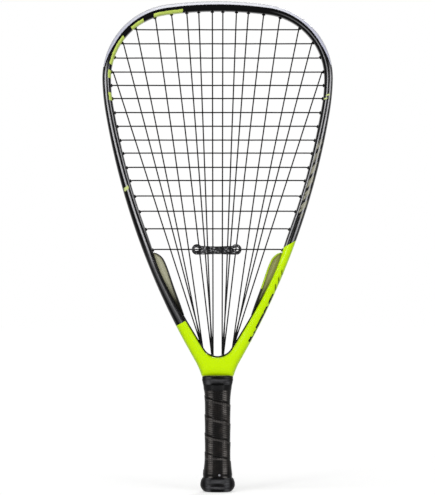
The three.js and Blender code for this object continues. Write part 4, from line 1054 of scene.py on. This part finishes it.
def flat_piece(outlines, thickness, bevel):
    """Mesh of a plate with holes and rounded edges, from a filled and bevelled flat curve."""
    curve = bpy.data.curves.new("outline", "CURVE")
    curve.dimensions, curve.fill_mode = "2D", "BOTH"
    curve.extrude, curve.bevel_depth, curve.offset = (thickness / 2 - bevel), bevel, -bevel
    curve.bevel_resolution = 3
    for points in outlines:
        line = curve.splines.new("POLY")
        line.points.add(len(points) - 1)
        flat = np.pad(points, [(0, 0), (0, 2)], constant_values=((0, 0), (0, 1)))
        line.points.foreach_set("co", flat.astype(np.float32).ravel())
        line.use_cyclic_u = True
    obj = bpy.data.objects.new("outline", curve)
    mesh = bpy.data.meshes.new_from_object(obj)
    bpy.data.objects.remove(obj)
    co = np.empty(len(mesh.vertices) * 3)
    mesh.vertices.foreach_get("co", co)
    x, y, z = co.reshape(-1, 3).T
    mesh.vertices.foreach_set("co", (np.stack([x, WORM_Y - z, y], -1) * MM).ravel())
    return mesh


def teardrop(x, tail, r):
    """Opening at an end of the worm: half a circle round x, drawn out on its other side to the
    tail, where its half height is r sin(a) times (1 - cos(a)) to the power .8, a being the
    angle from the tail."""
    a = circle(48)
    along, up = np.cos(a), np.sin(a)
    reach = np.where(along > 0, abs(tail - x), r)
    height = r * up * np.where(along > 0, 1 - along, 1) ** .8
    return np.stack([x + np.sign(tail - x) * reach * along, WORM_LOW + 6.4 + height], -1)[::-1]


holes = [teardrop(-24.4, -15.8, 2.3), teardrop(22.0, 14.4, 2.6)]
dress("dampener_strip", flat_piece([worm_outline(0)] + holes, 1.1, .3), silicone_rubber(),
      ["vibration_dampener"])
# Beads round the edge, a little flattened, and round the openings
beads = []
for line, radius in [(worm_outline(-1.3), 1.3)] + [(hole, .4) for hole in holes]:
    bead = np.stack([line[:, 0], 0 * line[:, 0], line[:, 1]], -1)
    points, faces, _ = cord_grid(bead, radius, .6, 10, closed=True)
    beads.append((points * [1, .8, 1] + [0, WORM_Y, 0], faces, None))
piece("dampener_rim", beads, moulded("silicone_rim", "040405", "0b0b0c", .4, 1100, .0001),
      "vibration_dampener")

# Handle
# Core of the handle, and by shares of its height the shares of its width and depth
CORE_WIDTH, CORE_DEPTH, CORE_CORNER = 25.4, 23.9, 6
CORE_W = np.array([(.12, 1.235), (.17, 1.155), (.22, 1.08), (.27, 1.02), (.33, 1), (.79, 1),
                   (.83, 1.02), (.87, 1.05), (.93, 1.12)])
CORE_D = np.array([(.12, 1.165), (.17, 1.105), (.22, 1.05), (.27, 1.01), (.33, 1), (.93, 1)])
# Levels of the wrap and its rise in one turn, and levels of the finishing tape
WRAP_LOW, WRAP_HIGH, PITCH = 16.4, 118.6, 21.2
TAPE_LOW, TAPE_HIGH = 114.5, 121.5


def core_at(z, grow):
    """Corner rings of the core under the wrap at heights, pushed out."""
    share = z / HANDLE_LENGTH
    width = CORE_WIDTH * np.interp(share, CORE_W[:, 0], CORE_W[:, 1]) + 2 * grow
    depth = CORE_DEPTH * np.interp(share, CORE_D[:, 0], CORE_D[:, 1]) + 2 * grow
    return octagon(width, depth, CORE_CORNER + grow * (2 - math.sqrt(2)), z)


def wrap_grid():
    """One strip wound upwards with its upper edge over the turn above. Each section is a closed
    loop of (height, lift off the core); the strip's own edge dips and swells a little."""
    per_turn, end, way_round = 96, 8, 84
    count = int(24 * (1 + (WRAP_HIGH - WRAP_LOW - 2 * end + 2) / PITCH)) * 4
    turns = np.arange(count + 1) / per_turn
    ramp = lambda start: np.clip((turns - start) * 12, 0, 1)
    upper = WRAP_LOW + end + PITCH * turns
    wander = .35 * np.sin(turns * 9.7) + .25 * np.sin(turns * 23.1 + 1)
    tucked = upper - PITCH - 2
    low = WRAP_LOW + (tucked - WRAP_LOW) * ramp(1 - 1 / 12)
    top_free = np.minimum(upper, WRAP_HIGH)
    high = top_free + (WRAP_HIGH - top_free) * ramp(turns[-1] - 1)
    high = np.where(high < WRAP_HIGH - 1, high + wander * (high > WRAP_LOW + end + 2), high)
    q = np.linspace(0, 1, 26)[:, None]
    length = high - low
    lift_out = np.interp(q * length, [0, .5, 2.2, 4.3], [.45, .8, 1.25, 1.5]) + .5 * q ** 2
    z_out = low + q * length
    back = np.array([(0.0, 1.72), (0.0, 1.5), (-.15, 1.42), (-2.6, .75), (-5.2, 0)])
    z_back = high + back[:, :1]
    lift_back = np.broadcast_to(back[:, 1:], (len(back), len(turns)))
    z_low = low + np.array([[.3], [0], [0]])
    lift_low = np.broadcast_to([[0.0], [.1], [.35]], (3, len(turns)))
    z = np.concatenate([z_out, z_back, z_low]).T
    lift = np.concatenate([lift_out, lift_back, lift_low]).T + GAP
    share = np.broadcast_to((10 / 24 - turns)[:, None], z.shape)
    points = soft_octagon(core_at(z, lift), share[..., None], .07)[..., 0, :]
    across = z - low[:, None]
    along = np.broadcast_to((turns * way_round)[:, None], z.shape)
    uv = np.stack([along, across], -1)
    return grid(points, uv=np.concatenate([uv, uv[:, :1]], 1))


def cap_mesh(material):
    """Flared cap: soft eight-sided rings on a smooth profile, with the lanyard hole bored
    through from front to back."""
    width, depth, corner, height, hole_r = 39.7, 36, 10, 16.2, 2.5
    shares = [(0, .71), (.03, .775), (.08, .84), (.14, .88), (.25, .945), (.42, 1), (.6, 1),
              (.7, .985), (.83, .955), (.94, .905), (1, .86), (1.0, .78)]
    rows = [(width * s, depth * s, corner * s, height * r) for r, s in shares]
    rings = octagon(*bevelled(rows, 4).T)
    body = piece("flared_cap", [soft_bar(rings, 128, .08, False)], material, "butt_cap")
    a = circle(32)
    bore = np.stack([np.stack([hole_r * np.cos(a), y + 0 * a, hole_r * np.sin(a)], -1)
                     for y in (-30, 0, 30)])
    v, f, _ = grid(bore)
    mesh = bpy.data.meshes.new("bore")
    mesh.from_pydata((v * MM).tolist(), [], f)
    cutter = bpy.data.objects.new("bore", mesh)
    bpy.context.collection.objects.link(cutter)
    cut = body.modifiers.new("lanyard hole", "BOOLEAN")
    cut.object, cut.solver, cut.operation = cutter, "EXACT", "DIFFERENCE"
    bored = body.evaluated_get(bpy.context.evaluated_depsgraph_get())
    made = bpy.data.meshes.new_from_object(bored)
    body.modifiers.clear()
    body.data = made
    bpy.data.objects.remove(cutter)


# Levels of the painted highlight bands: the collar, and the upper and lower side of the cap
rubber = butt_rubber([(126.6, 2.9), (12.4, 3), (5, 2.2)])
piece("wound_grip", [wrap_grid()], grip_leather(), "grip_wrap", smooth=50)
cap_mesh(rubber)


def collar_rows():
    """Closed profile of the collar as (width, depth, corner, height): plain inside, and outside
    three shallow ribs on a side that flares upwards on a smooth step."""
    top_w, low_w, deep, corner = 31 + 2 * (GAP + 2.05), 33.6, 22.5 + 2 * (GAP + 2.7), 8
    bore = 31.6, 23.1, 5.5
    z0, z1 = NECK_Z + GAP, HANDLE_LENGTH - GAP
    rows = [(*bore, z0), (low_w - .5, deep - 1.2, corner, z0), (low_w, deep - .4, corner, z0 + .5)]
    for k in np.linspace(.1, .9, 17):
        flare = min(k / .6, 1)
        wide = low_w + (top_w - low_w) * flare ** 2 * (3 - 2 * flare)
        dent = .5 * (1 + math.cos(2 * math.pi * k * 2.5)) / 2
        rows.append((wide - dent, deep - dent, corner, z0 + (z1 - z0) * k))
    rows += [(top_w - .4, deep - .4, corner, z1 - .3), (top_w - 1.4, deep - 1.4, corner, z1),
             (*bore, z1)]
    return octagon(*np.array(rows, float).T)


def tape_rings():
    """Turn of tape: a closed loop of rings, the outer ones drawn in towards their lower edge."""
    z = np.linspace(TAPE_LOW, TAPE_HIGH, 12)
    outer = core_at(z, 2.3 - .35 * (1 - np.clip((z - TAPE_LOW) / 3, 0, 1)) ** 2)
    return np.concatenate([outer, core_at(z[::-1], 1.85)])


piece("ribbed_collar", [soft_bar(collar_rows())], rubber, "grip_collar", smooth=35)
piece("wound_tape", [soft_bar(tape_rings())],
      moulded("vinyl_tape", "0e0e0f", "19191a", .35, 700, .0001), "finishing_tape")

# CAD nodes that keep their own shape
foam = moulded("pallet_foam", "cfc7b0", "ddd6c2", .85, 2200, .0003)
for node, material in (("handle_pallet_front", foam), ("handle_pallet_rear", foam),
                       ("grip_tack", blued_steel())):
    mesh = bpy.data.objects[node].data
    mesh.materials.clear()
    mesh.materials.append(material)


# Floor, world, lamps and camera
def seen_directly(tree):
    """1 for rays from the camera, in gloss and through glass, 0 for light on the object."""
    rays = add(tree, "LightPath").outputs
    seen = add(tree, "MAXIMUM", rays["Is Camera Ray"], rays["Is Glossy Ray"])
    return add(tree, "MAXIMUM", seen, rays["Is Transmission Ray"])


def pale_floor():
    """Matt pale floor, white to the eye where no shadow falls."""
    m, t = finish("pale_floor")
    glow = add(t, "Emission", "ffffff", add(t, "MULTIPLY", seen_directly(t), .51))
    add(t, "OutputMaterial", add(t, "AddShader", add(t, "BsdfDiffuse", "f2f2f2"), glow))
    return m


FLOOR_REACH, FLOOR_LEVEL = 8, -.0003
mesh = bpy.data.meshes.new("floor")
mesh.from_pydata([(x * FLOOR_REACH, y * FLOOR_REACH, FLOOR_LEVEL)
                  for x, y in ((-1, -1), (1, -1), (1, 1), (-1, 1))], [], [(0, 1, 2, 3)])
floor = bpy.data.objects.new("floor", mesh)
bpy.context.collection.objects.link(floor)
mesh.materials.append(pale_floor())

world = bpy.data.worlds.new("studio")
bpy.context.scene.world = world
world.use_nodes = True
t = world.node_tree
t.nodes.clear()
sky = add(t, "Background", "ffffff", add(t, "MapRange", seen_directly(t), 0, 1, .16, 1))
add(t, "OutputWorld", sky)


def lamp(name, direction, strength, spread):
    """Far soft lamp: the direction points from the racket to the lamp; spread is in degrees."""
    data = bpy.data.lights.new(name, "SUN")
    data.energy, data.angle = strength, rad(spread)
    obj = bpy.data.objects.new(name, data)
    obj.rotation_euler = Vector(direction).to_track_quat("Z", "Y").to_euler()
    bpy.context.collection.objects.link(obj)


lamp("left", (-.40, -.9, .12), 1.1, 12)
lamp("right", (.42, -.9, .08), 1.04, 12)
lamp("above", (-.1, -.45, .9), .8, 40)
lamp("rear", (.25, .9, .5), .8, 20)

# Perspective from 4 m in front, level with the middle of the picture; sizes in pixels of the
# picture, whose scale is PIXEL millimetres, and the pixel of the object's origin
PICTURE_WIDTH, PICTURE_HEIGHT, PIXEL = 435, 495, 1.139
ORIGIN_X, ORIGIN_Y = 217.6, 491.6
DISTANCE, SENSOR = 4.0, 36
camera = bpy.data.cameras.new("front")
camera.sensor_width = SENSOR
camera.lens = DISTANCE * SENSOR / (PICTURE_HEIGHT * PIXEL * MM)
camera.clip_end = 60
eye = bpy.data.objects.new("front", camera)
eye.location = ((PICTURE_WIDTH / 2 - ORIGIN_X) * PIXEL * MM, -DISTANCE,
                (ORIGIN_Y - PICTURE_HEIGHT / 2) * PIXEL * MM)
eye.rotation_euler = (math.pi / 2, 0, 0)
bpy.context.collection.objects.link(eye)
bpy.context.scene.camera = eye
bpy.context.scene.view_settings.view_transform = "Standard"
